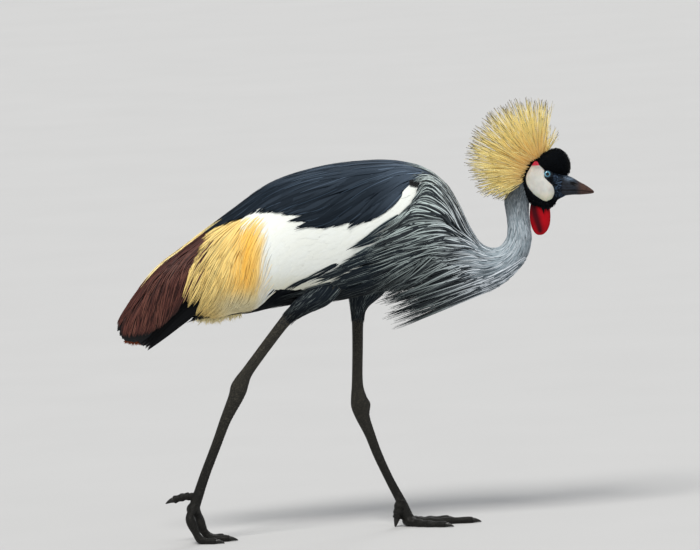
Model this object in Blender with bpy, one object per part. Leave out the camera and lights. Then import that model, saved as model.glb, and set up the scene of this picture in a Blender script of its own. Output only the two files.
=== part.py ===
"""A life-size grey crowned crane in mid stride on level ground.

The bird faces +X and stands on z = 0. Its right side is at -Y. Body, neck and head are lofts
through slices of the side view, and thin cuts part them into the pieces that a person would name.
"""

import math

import bmesh
import bpy
import numpy as np

# Driving dimensions, in metres
GAP = 0.0004
BODY_HALF_WIDTH = 0.086
HEAD_HALF_WIDTH = 0.0215
CHEEK_THICKNESS = 0.0022
EYE_RADIUS = 0.0078
EYE_DEPTH_IN_HEAD = 0.0052
CREST_REACH = 0.115
CREST_HALF_WIDTH = 0.090
TAIL_HALF_THICKNESS = 0.008
CORE_WIDTH_SHARE = 0.76
CORE_TOP_DROP = 0.024
FOOT_OFFSET = 0.040
HIP_OFFSET = 0.043
TOE_RADIUS = 0.0056
CLAW_LENGTH = 0.014
FAR_OUT = 0.30
SIDES = {"right": -1, "left": 1}

# Colours as linear RGB, with roughness
FINISHES = {
    "slate_feathers": ((0.035, 0.043, 0.058), 0.55),
    "grey_plumes": ((0.22, 0.24, 0.27), 0.6),
    "black_feathers": ((0.008, 0.009, 0.013), 0.5),
    "white_feathers": ((0.80, 0.81, 0.80), 0.6),
    "gold_feathers": ((0.72, 0.45, 0.12), 0.6),
    "chestnut_feathers": ((0.085, 0.026, 0.018), 0.5),
    "velvet_black": ((0.004, 0.004, 0.006), 0.9),
    "crest_bristles": ((0.72, 0.50, 0.17), 0.5),
    "white_skin": ((0.75, 0.73, 0.68), 0.55),
    "red_skin": ((0.45, 0.012, 0.014), 0.4),
    "bill_horn": ((0.022, 0.024, 0.030), 0.35),
    "leg_scales": ((0.030, 0.026, 0.026), 0.6),
    "claw_horn": ((0.012, 0.011, 0.011), 0.35),
    "eye_blue": ((0.12, 0.30, 0.38), 0.1),
}

# Slices of body and neck, tail first: top x, top z, bottom x, bottom z, share of the half width
TRUNK_SLICES = [
    (-0.4215, 0.3900, -0.3830, 0.3420, 0.28),
    (-0.4110, 0.4080, -0.3690, 0.3380, 0.35),
    (-0.3907, 0.4362, -0.3420, 0.3485, 0.44),
    (-0.3469, 0.4841, -0.3010, 0.3800, 0.56),
    (-0.2887, 0.5247, -0.2450, 0.3890, 0.69),
    (-0.2187, 0.5729, -0.1900, 0.3930, 0.80),
    (-0.1390, 0.6226, -0.1200, 0.4030, 0.94),
    (-0.0472, 0.6465, -0.0400, 0.4080, 1.00),
    (0.0340, 0.6520, 0.0240, 0.4190, 1.00),
    (0.0870, 0.6478, 0.0640, 0.4380, 0.97),
    (0.1290, 0.6330, 0.0980, 0.4500, 0.89),
    (0.1640, 0.6040, 0.1230, 0.4520, 0.75),
]
NECK_SLICES = [
    (0.1870, 0.5640, 0.1480, 0.4360, 0.61),
    (0.2040, 0.5240, 0.1760, 0.4190, 0.49),
    (0.2200, 0.4970, 0.2110, 0.4080, 0.39),
    (0.2390, 0.4870, 0.2500, 0.4200, 0.315),
    (0.2543, 0.4894, 0.2800, 0.4430, 0.275),
    (0.2651, 0.5017, 0.3005, 0.4680, 0.255),
    (0.2686, 0.5190, 0.3095, 0.4960, 0.245),
    (0.2682, 0.5378, 0.3088, 0.5200, 0.230),
    (0.2660, 0.5560, 0.3076, 0.5430, 0.222),
    (0.2655, 0.5700, 0.3085, 0.5600, 0.220),
    (0.2735, 0.5870, 0.3120, 0.5760, 0.215),
    (0.2880, 0.6050, 0.3180, 0.5940, 0.190),
]
TRUNK_SPAN = (4, 11)
NECK_CUTS = {"neck_base": (11, 14), "neck_lower": (14, 16), "neck_middle": (16, 19), "neck_upper": (19, None)}

# Slices of head and bill from the nape to the tip, with the share of the head's half width
HEAD_SLICES = [
    (0.2925, 0.6050, 0.2945, 0.5850, 0.45),
    (0.3000, 0.6210, 0.3015, 0.5690, 0.78),
    (0.3120, 0.6310, 0.3125, 0.5590, 0.95),
    (0.3250, 0.6350, 0.3250, 0.5525, 1.00),
    (0.3385, 0.6340, 0.3370, 0.5490, 0.97),
    (0.3500, 0.6280, 0.3485, 0.5530, 0.86),
    (0.3610, 0.6180, 0.3590, 0.5620, 0.70),
    (0.3710, 0.6110, 0.3680, 0.5670, 0.57),
]
BILL_SLICES = [
    (0.3790, 0.6070, 0.3760, 0.5690, 0.50),
    (0.3886, 0.6017, 0.3870, 0.5708, 0.42),
    (0.3990, 0.5940, 0.3975, 0.5722, 0.34),
    (0.4075, 0.5895, 0.4060, 0.5724, 0.26),
    (0.4160, 0.5832, 0.4145, 0.5727, 0.17),
    (0.4228, 0.5760, 0.4218, 0.5738, 0.05),
]
GAPE_LINE = [(0.352, 0.5832), (0.385, 0.5812), (0.405, 0.5785), (0.430, 0.5745)]

CAP_SLICES = [
    (0.3060, 0.6310, 0.3070, 0.6230, 0.35),
    (0.3150, 0.6375, 0.3160, 0.6180, 0.70),
    (0.3280, 0.6440, 0.3290, 0.6150, 0.90),
    (0.3400, 0.6505, 0.3410, 0.6130, 1.00),
    (0.3520, 0.6548, 0.3525, 0.6100, 1.04),
    (0.3640, 0.6553, 0.3640, 0.6085, 0.99),
    (0.3740, 0.6495, 0.3735, 0.6070, 0.86),
    (0.3805, 0.6410, 0.3800, 0.6085, 0.66),
    (0.3848, 0.6310, 0.3845, 0.6160, 0.34),
]
CHEEK_OUTLINE = [
    (0.3146, 0.6244), (0.3085, 0.6140), (0.3053, 0.6006), (0.3073, 0.5857), (0.3146, 0.5746),
    (0.3251, 0.5674), (0.3349, 0.5640), (0.3451, 0.5663), (0.3515, 0.5727), (0.3534, 0.5819),
    (0.3510, 0.5925), (0.3450, 0.6015), (0.3385, 0.6055), (0.3350, 0.6125),
    (0.3308, 0.6250), (0.3242, 0.6266),
]
WATTLE_SLICES = [
    (0.3110, 0.5600, 0.3420, 0.5600, 0.006),
    (0.3092, 0.5480, 0.3435, 0.5480, 0.0075),
    (0.3098, 0.5350, 0.3443, 0.5350, 0.0085),
    (0.3112, 0.5220, 0.3410, 0.5220, 0.0085),
    (0.3150, 0.5120, 0.3350, 0.5115, 0.0065),
    (0.3195, 0.5060, 0.3285, 0.5055, 0.0025),
]
EYE_PLACE = (0.3430, 0.6115)
CREST_CENTRE = (0.3120, 0.6330)
CREST_SETBACK = 0.006
CREST_TILT_DEG = 145

# Fringe of long plumes that hangs from the neck base, from its root to its tips
FRINGE_SLICES = [
    (0.2250, 0.4450, 0.2350, 0.4120, 0.026),
    (0.1850, 0.4480, 0.2087, 0.4030, 0.031),
    (0.1400, 0.4450, 0.1774, 0.3940, 0.030),
    (0.1050, 0.4310, 0.1400, 0.3810, 0.026),
    (0.0700, 0.4080, 0.1000, 0.3660, 0.019),
    (0.0380, 0.3800, 0.0640, 0.3510, 0.010),
    (0.0265, 0.3690, 0.0450, 0.3460, 0.003),
]

# Lower edge of the mantle in side view, from the rump to the bend of the wing
MANTLE_EDGE = [
    (-0.2620, 0.5385), (-0.2157, 0.5560), (-0.1720, 0.5690), (-0.1480, 0.5680), (-0.1231, 0.5515),
    (-0.1027, 0.5395), (-0.0626, 0.5345), (-0.0223, 0.5356), (0.0308, 0.5452),
    (0.0739, 0.5658), (0.0988, 0.6067),
]
RUMP_POINT = 2
GOLD_REAR_EDGE = [
    (-0.2666, 0.5207), (-0.2788, 0.4990), (-0.3001, 0.4663), (-0.3085, 0.4444), (-0.3050, 0.4226),
]
WHITE_REAR_EDGE = [(-0.1626, 0.4251), (-0.1607, 0.4621), (-0.1655, 0.5100)]
WHITE_FRONT_EDGE = [
    (0.1144, 0.6026), (0.0997, 0.5697), (0.0646, 0.5411), (0.0300, 0.5193), (-0.0046, 0.4977),
    (-0.0296, 0.4686), (-0.0745, 0.4440), (-0.0952, 0.4351), (-0.1422, 0.4309),
]
CHESTNUT_LOWER_EDGE = [(-0.3270, 0.3970), (-0.3450, 0.3800), (-0.3665, 0.3610)]
ZONES = {
    "mantle": MANTLE_EDGE + [(0.1250, 0.7200), (-0.2800, 0.7200), (-0.2800, 0.5600)],
    "wing_coverts": MANTLE_EDGE[RUMP_POINT:] + WHITE_FRONT_EDGE + WHITE_REAR_EDGE,
    "wing_gold": MANTLE_EDGE[RUMP_POINT::-1] + GOLD_REAR_EDGE
    + [(-0.2915, 0.3600), (-0.2000, 0.3600), (-0.1884, 0.4071)] + WHITE_REAR_EDGE,
    "wing_chestnut": MANTLE_EDGE[:1] + GOLD_REAR_EDGE + CHESTNUT_LOWER_EDGE
    + [(-0.3720, 0.3250), (-0.4120, 0.3250), (-0.4190, 0.3950), (-0.4400, 0.4200), (-0.4400, 0.5600)]
    + [(-0.2800, 0.5600)],
    "wing_primaries": GOLD_REAR_EDGE[-1:] + CHESTNUT_LOWER_EDGE
    + [(-0.3720, 0.3250), (-0.3720, 0.3000), (-0.2915, 0.3000), (-0.2915, 0.3600)],
    "tail": [
        (-0.2850, 0.4500), (-0.2850, 0.3600), (-0.3500, 0.3000), (-0.4400, 0.3000), (-0.4400, 0.3950),
        (-0.3700, 0.4250),
    ],
}
ZONE_FINISHES = {
    "wing_coverts": "white_feathers",
    "wing_gold": "gold_feathers",
    "wing_chestnut": "chestnut_feathers",
    "wing_primaries": "black_feathers",
}

# Each leg from the body down to the foot: x, z, half depth fore and aft, half width
LEGS = {
    "right": [
        (-0.0200, 0.4850, 0.0500, 0.0260),
        (-0.0600, 0.4300, 0.0340, 0.0250),
        (-0.1000, 0.4040, 0.0175, 0.0165),
        (-0.1218, 0.3840, 0.0115, 0.0100),
        (-0.1567, 0.3440, 0.0098, 0.0073),
        (-0.1923, 0.2990, 0.0100, 0.0074),
        (-0.2060, 0.2810, 0.0128, 0.0090),
        (-0.2140, 0.2670, 0.0152, 0.0100),
        (-0.2205, 0.2500, 0.0138, 0.0092),
        (-0.2390, 0.2140, 0.0094, 0.0068),
        (-0.2610, 0.1720, 0.0076, 0.0060),
        (-0.2830, 0.1200, 0.0077, 0.0060),
        (-0.2985, 0.0830, 0.0092, 0.0085),
        (-0.3050, 0.0620, 0.0098, 0.0120),
    ],
    "left": [
        (0.0350, 0.4850, 0.0500, 0.0280),
        (0.0150, 0.4270, 0.0380, 0.0260),
        (0.0020, 0.3950, 0.0190, 0.0185),
        (-0.0010, 0.3690, 0.0118, 0.0105),
        (-0.0035, 0.3200, 0.0096, 0.0074),
        (-0.0060, 0.2600, 0.0105, 0.0076),
        (-0.0055, 0.2330, 0.0150, 0.0095),
        (-0.0025, 0.2170, 0.0172, 0.0104),
        (0.0035, 0.1960, 0.0120, 0.0086),
        (0.0130, 0.1660, 0.0082, 0.0066),
        (0.0270, 0.1280, 0.0074, 0.0060),
        (0.0440, 0.0830, 0.0076, 0.0061),
        (0.0590, 0.0420, 0.0086, 0.0080),
        (0.0690, 0.0150, 0.0098, 0.0120),
    ],
}
LEG_PARTS = {"thigh": (0, 3), "shank": (3, 7), "tarsus": (7, None)}
LEG_FINISHES = {"thigh": "slate_feathers", "shank": "leg_scales", "tarsus": "leg_scales"}

# The pad under the toe joints: centre x, z and radii
FOOT_PADS = {
    "right": (-0.3060, 0.0590, (0.0125, 0.0160, 0.0125)),
    "left": (0.0725, 0.0093, (0.0150, 0.0165, 0.0100)),
}

# Each toe from the pad to the claw: x, distance outwards from the foot's middle, z, and its radius as a share
# of TOE_RADIUS
TOES = {
    "right": {
        "toe_middle": [
            (-0.3030, 0.0000, 0.0560, 1.00), (-0.2965, 0.0005, 0.0400, 1.10), (-0.2900, 0.0010, 0.0200, 1.1),
            (-0.2800, 0.0010, 0.0080, 1.05), (-0.2640, 0.0020, 0.0046, 1.0), (-0.2450, 0.0030, 0.0042, 0.85),
        ],
        "toe_outer": [
            (-0.3090, 0.0105, 0.0570, 1.05), (-0.3130, 0.0180, 0.0470, 1.20), (-0.3060, 0.0210, 0.0260, 1.1),
            (-0.2970, 0.0230, 0.0085, 1.0), (-0.2840, 0.0270, 0.0046, 0.95), (-0.2680, 0.0310, 0.0041, 0.8),
        ],
        "toe_inner": [
            (-0.3010, -0.0110, 0.0560, 0.95), (-0.2970, -0.0170, 0.0440, 1.05),
            (-0.2920, -0.0190, 0.0240, 1.05), (-0.2830, -0.0210, 0.0085, 1.0),
            (-0.2710, -0.0250, 0.0046, 0.95), (-0.2560, -0.0290, 0.0041, 0.8),
        ],
        "toe_hind": [
            (-0.3060, -0.0040, 0.0815, 0.95), (-0.3200, -0.0050, 0.0815, 0.95),
            (-0.3390, -0.0060, 0.0755, 0.8),
        ],
    },
    "left": {
        "toe_middle": [
            (0.0800, 0.0000, 0.0085, 1.35), (0.1000, 0.0000, 0.0056, 1.15), (0.1240, 0.0010, 0.0047, 1.05),
            (0.1500, 0.0010, 0.0046, 1.0), (0.1830, -0.0010, 0.0042, 0.85),
        ],
        "toe_outer": [
            (0.0760, 0.0090, 0.0080, 1.2), (0.0910, 0.0200, 0.0056, 1.1), (0.1110, 0.0310, 0.0046, 1.0),
            (0.1410, 0.0440, 0.0041, 0.8),
        ],
        "toe_inner": [
            (0.0760, -0.0090, 0.0080, 1.2), (0.0900, -0.0200, 0.0056, 1.05), (0.1080, -0.0310, 0.0045, 0.95),
            (0.1350, -0.0430, 0.0040, 0.8),
        ],
        "toe_hind": [
            (0.0560, -0.0030, 0.0480, 0.95), (0.0530, -0.0040, 0.0360, 0.95), (0.0500, -0.0050, 0.0240, 0.9),
            (0.0478, -0.0055, 0.0145, 0.75),
        ],
    },
}


def clear_scene():
    for thing in list(bpy.data.objects):
        bpy.data.objects.remove(thing, do_unlink=True)


def new_collection(name):
    collection = bpy.data.collections.new(name)
    bpy.context.scene.collection.children.link(collection)
    return collection


def finish(name):
    """The Principled material of one of FINISHES."""
    material = bpy.data.materials.get(name)
    if material is None:
        colour, roughness = FINISHES[name]
        material = bpy.data.materials.new(name)
        material.use_nodes = True
        shader = material.node_tree.nodes["Principled BSDF"]
        shader.inputs["Base Color"].default_value = (*colour, 1.0)
        shader.inputs["Roughness"].default_value = roughness
        shader.inputs["Metallic"].default_value = 0.0
    return material


def smooth_rows(rows, steps):
    """Rows on a Catmull-Rom curve through the given ones, with this many rows to a span."""
    rows = np.asarray(rows, float)
    padded = np.vstack([2 * rows[0] - rows[1], rows, 2 * rows[-1] - rows[-2]])
    t = np.arange(steps)[:, None] / steps
    spans = []
    for a, b, c, d in zip(padded, padded[1:], padded[2:], padded[3:]):
        curved, twisted = 2 * a - 5 * b + 4 * c - d, 3 * b - a - 3 * c + d
        spans.append(0.5 * (2 * b + (c - a) * t + curved * t**2 + twisted * t**3))
    return np.vstack([*spans, rows[-1:]])


def sections_of_slices(slices, half_width, y=0.0, widest=0.5):
    """Sections from side-view slices. A section is centre, up, down and side, twelve numbers in a row."""
    rows = []
    for top_x, top_z, low_x, low_z, share in slices:
        top, low = np.array([top_x, y, top_z]), np.array([low_x, y, low_z])
        centre = low + (top - low) * widest
        rows.append(np.concatenate([centre, top - centre, low - centre, [0.0, half_width * share, 0.0]]))
    return np.array(rows)


def sections_along(path, depths, widths, side):
    """Sections square to a path: depth in the plane of path and up, width along the given side direction."""
    path, side = np.asarray(path, float), np.asarray(side, float)
    forward = np.gradient(path, axis=0)
    forward /= np.linalg.norm(forward, axis=1)[:, None]
    across = side / np.linalg.norm(side)
    up = np.cross(across, forward)
    up /= np.linalg.norm(up, axis=1)[:, None]
    rows = []
    for centre, lift, depth, width in zip(path, up, depths, widths):
        rows.append(np.concatenate([centre, -lift * depth, lift * depth, across * width]))
    return np.array(rows)


def loft(name, sections, collection, finish_name=None, sides=14, steps=2, grow=0.0, span=(0, None)):
    """A closed solid through sections, each a ring of two half ellipses.

    grow thickens it all round. span keeps one length of it, half a gap short of the section at each cut.
    """
    rows = smooth_rows(sections, steps)
    first, last = span
    rows = rows[first * steps : len(rows) if last is None else last * steps + 1]
    centre, up, down, side = (rows[:, i : i + 3].copy() for i in (0, 3, 6, 9))
    for end, inner, is_cut in ((0, 1, first > 0), (-1, -2, last is not None)):
        if is_cut:
            normal = np.cross(up[end], side[end])
            normal /= np.linalg.norm(normal)
            centre[end] += normal * math.copysign(GAP / 2, normal @ (centre[inner] - centre[end]))
    if grow:
        for vector in (up, down, side):
            vector *= (1 + grow / np.linalg.norm(vector, axis=1))[:, None]
        for end, inner in ((0, 1), (-1, -2)):
            outward = centre[end] - centre[inner]
            centre[end] += outward / np.linalg.norm(outward) * grow
    angle = np.arange(sides) * 2 * math.pi / sides
    lift, across = np.cos(angle)[None, :, None], np.sin(angle)[None, :, None]
    tall = np.where(lift > 0, up[:, None], -down[:, None])
    points = centre[:, None] + tall * lift + side[:, None] * across
    shape = bmesh.new()
    rings = [[shape.verts.new(p) for p in ring] for ring in points]
    for first, second in zip(rings, rings[1:]):
        for i in range(sides):
            shape.faces.new((first[i], first[i - 1], second[i - 1], second[i]))
    shape.faces.new(rings[0])
    shape.faces.new(reversed(rings[-1]))
    bmesh.ops.triangulate(shape, faces=shape.faces, quad_method="FIXED")
    bmesh.ops.recalc_face_normals(shape, faces=shape.faces)
    return place(name, shape, collection, finish_name)


def place(name, shape, collection, finish_name=None):
    """Puts a bmesh into a new object of the collection."""
    mesh = bpy.data.meshes.new(name)
    shape.to_mesh(mesh)
    shape.free()
    thing = bpy.data.objects.new(name, mesh)
    collection.objects.link(thing)
    if finish_name:
        mesh.materials.append(finish(finish_name))
        mesh.shade_smooth()
    else:
        thing.hide_render = True
        thing.display_type = "WIRE"
    return thing


def ellipsoid(name, centre, radii, collection, finish_name=None, grow=0.0, segments=14, rings=8):
    shape = bmesh.new()
    bmesh.ops.create_uvsphere(shape, u_segments=segments, v_segments=rings, radius=1.0)
    bmesh.ops.scale(shape, vec=[r + grow for r in radii], verts=shape.verts)
    bmesh.ops.translate(shape, vec=centre, verts=shape.verts)
    return place(name, shape, collection, finish_name)


def offset_outline(outline, distance):
    """The outline with every edge moved outwards by the distance, its corners mitred."""
    points = np.asarray(outline, float)
    following = np.roll(points, -1, axis=0)
    turn = np.sum(points[:, 0] * following[:, 1] - following[:, 0] * points[:, 1])
    along = following - points
    along /= np.linalg.norm(along, axis=1)[:, None]
    normal = np.stack([along[:, 1], -along[:, 0]], axis=1) * math.copysign(1.0, turn)
    before = np.roll(normal, 1, axis=0)
    bisector = normal + before
    reach = 2.0 / np.maximum(np.sum(bisector**2, axis=1), 0.8)
    return points + bisector * (reach * distance)[:, None]


def prism(name, outline, y_range, collection):
    """A cutter: a side-view outline carried across from one y to another."""
    curve = bpy.data.curves.new(name, "CURVE")
    curve.dimensions = "2D"
    curve.fill_mode = "BOTH"
    curve.extrude = abs(y_range[1] - y_range[0]) / 2
    spline = curve.splines.new("POLY")
    spline.points.add(len(outline) - 1)
    for point, (x, z) in zip(spline.points, outline):
        point.co = (x, z, 0.0, 1.0)
    spline.use_cyclic_u = True
    drawn = bpy.data.objects.new(name + "_outline", curve)
    collection.objects.link(drawn)
    bpy.context.view_layer.update()
    mesh = bpy.data.meshes.new_from_object(drawn.evaluated_get(bpy.context.evaluated_depsgraph_get()))
    bpy.data.objects.remove(drawn)
    shape = bmesh.new()
    shape.from_mesh(mesh)
    bpy.data.meshes.remove(mesh)
    bmesh.ops.remove_doubles(shape, verts=shape.verts, dist=0.00001)
    for vertex in shape.verts:
        x, z, half = vertex.co
        vertex.co = (x, sum(y_range) / 2 + half, z)
    bmesh.ops.recalc_face_normals(shape, faces=shape.faces)
    if shape.calc_volume(signed=True) < 0:
        bmesh.ops.reverse_faces(shape, faces=shape.faces)
    return place(name, shape, collection)


def boolean(target, other, operation):
    modifier = target.modifiers.new(operation.lower(), "BOOLEAN")
    modifier.operation = operation
    modifier.object = other


def keep_part(thing, point, normal, keep_positive):
    """Cuts a mesh with a plane, keeps one side and closes the cut."""
    shape = bmesh.new()
    shape.from_mesh(thing.data)
    cut = bmesh.ops.bisect_plane(
        shape,
        geom=[*shape.verts, *shape.edges, *shape.faces],
        plane_co=point,
        plane_no=normal,
        clear_inner=keep_positive,
        clear_outer=not keep_positive,
    )
    edges = [item for item in cut["geom_cut"] if isinstance(item, bmesh.types.BMEdge)]
    bmesh.ops.edgeloop_fill(shape, edges=edges)
    bmesh.ops.recalc_face_normals(shape, faces=shape.faces)
    shape.to_mesh(thing.data)
    shape.free()


def bird_sections():
    return sections_of_slices(TRUNK_SLICES + NECK_SLICES, BODY_HALF_WIDTH, widest=0.52)


def core_sections():
    """The body inside mantle and wings: narrower, lower on top, and a little short of the skin below."""
    rows = []
    for top_x, top_z, low_x, low_z, share in TRUNK_SLICES[TRUNK_SPAN[0] - 1 : TRUNK_SPAN[1]]:
        rows.append((top_x, top_z - CORE_TOP_DROP, low_x, low_z + 0.002, share * CORE_WIDTH_SHARE))
    return sections_of_slices(rows, BODY_HALF_WIDTH, widest=0.52)


def make_body(model, cutters):
    """Trunk, mantle, wing fields, tail and neck, parted from one loft."""
    sections = bird_sections()
    grown = loft("cut_bird_grown", sections, cutters, grow=GAP)
    core = loft("add_core", core_sections(), cutters, span=(1, None))
    core_grown = loft("cut_core_grown", core_sections(), cutters, grow=GAP, span=(1, None))
    wings_span = (0, TRUNK_SPAN[1])
    across = (-FAR_OUT, FAR_OUT)

    trunk = loft("trunk", sections, model, "slate_feathers", span=TRUNK_SPAN)
    for name in ("mantle", *ZONE_FINISHES):
        field = prism("cut_out_" + name, offset_outline(ZONES[name], GAP / 2), across, cutters)
        boolean(trunk, field, "DIFFERENCE")
    boolean(trunk, core, "UNION")

    mantle = loft("mantle", sections, model, "slate_feathers", span=wings_span)
    kept = prism("keep_mantle", offset_outline(ZONES["mantle"], -GAP / 2), across, cutters)
    boolean(mantle, kept, "INTERSECT")
    boolean(mantle, core_grown, "DIFFERENCE")

    half = TAIL_HALF_THICKNESS
    tail = loft("tail", sections, model, "black_feathers")
    boolean(tail, prism("keep_tail", ZONES["tail"], (-half, half), cutters), "INTERSECT")
    outline = offset_outline(ZONES["tail"], GAP)
    around_tail = prism("cut_tail_grown", outline, (-half - GAP, half + GAP), cutters)
    for zone, finish_name in ZONE_FINISHES.items():
        for side, sign in SIDES.items():
            field = loft(f"{zone}_{side}", sections, model, finish_name, span=wings_span)
            reach = sorted((sign * GAP / 2, sign * FAR_OUT))
            kept = prism(f"keep_{zone}_{side}", offset_outline(ZONES[zone], -GAP / 2), reach, cutters)
            boolean(field, kept, "INTERSECT")
            boolean(field, core_grown, "DIFFERENCE")
            if zone != "wing_coverts":
                boolean(field, around_tail, "DIFFERENCE")
    for name, span in NECK_CUTS.items():
        loft(name, sections, model, "grey_plumes", span=span)
    fringe_sections = sections_of_slices(FRINGE_SLICES, 1.0)
    fringe = loft("breast_fringe", fringe_sections, model, "grey_plumes", sides=12, steps=1)
    boolean(fringe, grown, "DIFFERENCE")
    return grown


def make_head(model, cutters, bird_grown):
    """Head, bill, cap, cheeks, eyes, wattle and crest."""
    whole = HEAD_SLICES + BILL_SLICES
    sections = sections_of_slices(whole, HEAD_HALF_WIDTH)
    head_grown = loft("cut_head_grown", sections, cutters, steps=1, grow=GAP)
    head_proud = loft("cut_head_proud", sections, cutters, steps=1, grow=CHEEK_THICKNESS)
    bill_cut = len(HEAD_SLICES)
    head = loft("head", sections, model, "velvet_black", steps=1, span=(0, bill_cut))
    mouth = GAPE_LINE + [(0.430, 0.540), (0.352, 0.540)]
    below = prism("cut_below_gape", offset_outline(mouth, GAP / 2), (-FAR_OUT, FAR_OUT), cutters)
    kept_below = prism("keep_below_gape", offset_outline(mouth, -GAP / 2), (-FAR_OUT, FAR_OUT), cutters)
    upper = loft("bill_upper", sections, model, "bill_horn", steps=1, span=(bill_cut, None))
    lower = loft("bill_lower", sections, model, "bill_horn", steps=1, span=(bill_cut, None))
    boolean(upper, below, "DIFFERENCE")
    boolean(lower, kept_below, "INTERSECT")

    cap_sections = sections_of_slices(CAP_SLICES, HEAD_HALF_WIDTH)
    cap = loft("cap", cap_sections, model, "velvet_black", sides=12, steps=1)
    cap_grown = loft("cut_cap_grown", cap_sections, cutters, sides=12, steps=1, grow=GAP)
    boolean(cap, head_grown, "DIFFERENCE")

    for side, sign in SIDES.items():
        eye_x, eye_z = EYE_PLACE
        eye_y = sign * (HEAD_HALF_WIDTH * 0.86 - EYE_DEPTH_IN_HEAD)
        centre, radii = (eye_x, eye_y, eye_z), (EYE_RADIUS,) * 3
        ellipsoid(f"eye_{side}", centre, radii, model, "eye_blue")
        socket = ellipsoid(f"cut_socket_{side}", centre, radii, cutters, grow=GAP)
        cheek = loft(f"cheek_{side}", sections, model, "white_skin", steps=1, grow=CHEEK_THICKNESS)
        reach = sorted((sign * 0.004, sign * FAR_OUT))
        boolean(cheek, prism(f"keep_cheek_{side}", CHEEK_OUTLINE, reach, cutters), "INTERSECT")
        for other in (head_grown, cap_grown, socket):
            boolean(cheek, other, "DIFFERENCE")
        boolean(head, socket, "DIFFERENCE")
        boolean(cap, socket, "DIFFERENCE")

    wattle_sections = sections_of_slices(WATTLE_SLICES, 1.0)
    wattle = loft("wattle", wattle_sections, model, "red_skin", sides=12, steps=1)
    wattle_grown = loft("cut_wattle_grown", wattle_sections, cutters, sides=12, steps=1, grow=GAP)
    boolean(wattle, head_proud, "DIFFERENCE")
    boolean(bpy.data.objects["neck_upper"], head_proud, "DIFFERENCE")
    boolean(bpy.data.objects["neck_upper"], wattle_grown, "DIFFERENCE")

    crest_x, crest_z = CREST_CENTRE
    tilt = math.radians(CREST_TILT_DEG)
    back = np.array([math.cos(tilt), 0.0, math.sin(tilt)])
    reach = (CREST_REACH, CREST_HALF_WIDTH, CREST_REACH)
    crest = ellipsoid("crest", (crest_x, 0, crest_z), reach, model, "crest_bristles", segments=22, rings=12)
    keep_part(crest, np.array([crest_x, 0.0, crest_z]) + back * CREST_SETBACK, back, keep_positive=True)
    for other in (head_proud, cap_grown, bird_grown):
        boolean(crest, other, "DIFFERENCE")


def make_leg(side, sign, model, cutters, bird_grown):
    """Feathered thigh, bare shank, tarsus, foot pad, toes and claws of one leg."""
    table = np.array(LEGS[side])
    aside = sign * np.linspace(HIP_OFFSET, FOOT_OFFSET, len(table))
    path = np.stack([table[:, 0], aside, table[:, 1]], axis=1)
    sections = sections_along(path, table[:, 2], table[:, 3], (0, 1, 0))
    for name, span in LEG_PARTS.items():
        loft(f"{name}_{side}", sections, model, LEG_FINISHES[name], sides=12, steps=1, span=span)
    boolean(bpy.data.objects[f"thigh_{side}"], bird_grown, "DIFFERENCE")
    leg_grown = loft(f"cut_leg_grown_{side}", sections, cutters, sides=12, steps=1, grow=GAP)

    pad_x, pad_z, radii = FOOT_PADS[side]
    centre = (pad_x, sign * FOOT_OFFSET, pad_z)
    pad = ellipsoid(f"foot_pad_{side}", centre, radii, model, "leg_scales")
    keep_part(pad, (0, 0, 0), (0, 0, 1), keep_positive=True)
    pad_grown = ellipsoid(f"cut_pad_grown_{side}", centre, radii, cutters, grow=GAP)
    boolean(bpy.data.objects[f"tarsus_{side}"], pad_grown, "DIFFERENCE")
    for name, stations in TOES[side].items():
        table = np.array(stations)
        path = np.stack([table[:, 0], sign * (FOOT_OFFSET + table[:, 1]), table[:, 2]], axis=1)
        heading = path[-1] - path[0]
        across = (-heading[1], heading[0], 0.0)
        radius = table[:, 3] * TOE_RADIUS
        toe_sections = sections_along(path, radius, radius, across)
        toe = loft(f"{name}_{side}", toe_sections, model, "leg_scales", sides=8, steps=1)
        keep_part(toe, (0, 0, 0), (0, 0, 1), keep_positive=True)
        boolean(toe, pad_grown, "DIFFERENCE")
        boolean(toe, leg_grown, "DIFFERENCE")
        make_claw(f"claw_{name[4:]}_{side}", path, radius[-1], across, model)


def make_claw(name, path, radius, across, model):
    """A short horn that goes on from the toe's tip, bends down and ends blunt."""
    forward = path[-1] - path[-2]
    forward /= np.linalg.norm(forward)
    run = np.array([0.0, 0.35, 0.7, 1.0]) * CLAW_LENGTH
    drop = np.array([0.0, 0.02, 0.09, 0.19]) * CLAW_LENGTH
    line = path[-1] + forward * (run + GAP)[:, None] - np.array([0, 0, 1.0]) * drop[:, None]
    thick = np.array([0.82, 0.66, 0.42, 0.16]) * radius
    line[:, 2] = np.maximum(line[:, 2], thick * 0.9)
    claw = loft(name, sections_along(line, thick, thick * 0.85, across), model, "claw_horn", sides=6, steps=1)
    keep_part(claw, (0, 0, 0), (0, 0, 1), keep_positive=True)


def main():
    clear_scene()
    model = new_collection("grey_crowned_crane")
    cutters = new_collection("cutters")
    bird_grown = make_body(model, cutters)
    make_head(model, cutters, bird_grown)
    for side, sign in SIDES.items():
        make_leg(side, sign, model, cutters, bird_grown)


main()
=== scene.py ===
"""A life-size grey crowned crane in mid stride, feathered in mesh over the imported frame.

Run it as a script: it registers the operators below, calls them in order and leaves a finished scene.
The bird faces +X with its right side at -Y. Every surface is worked out with numpy from slices of the
bird's side view. Feathers are closed thin vanes, and most of them follow the body under them.
"""

import math

import bpy
import numpy as np
from mathutils import Matrix, Vector


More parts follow.
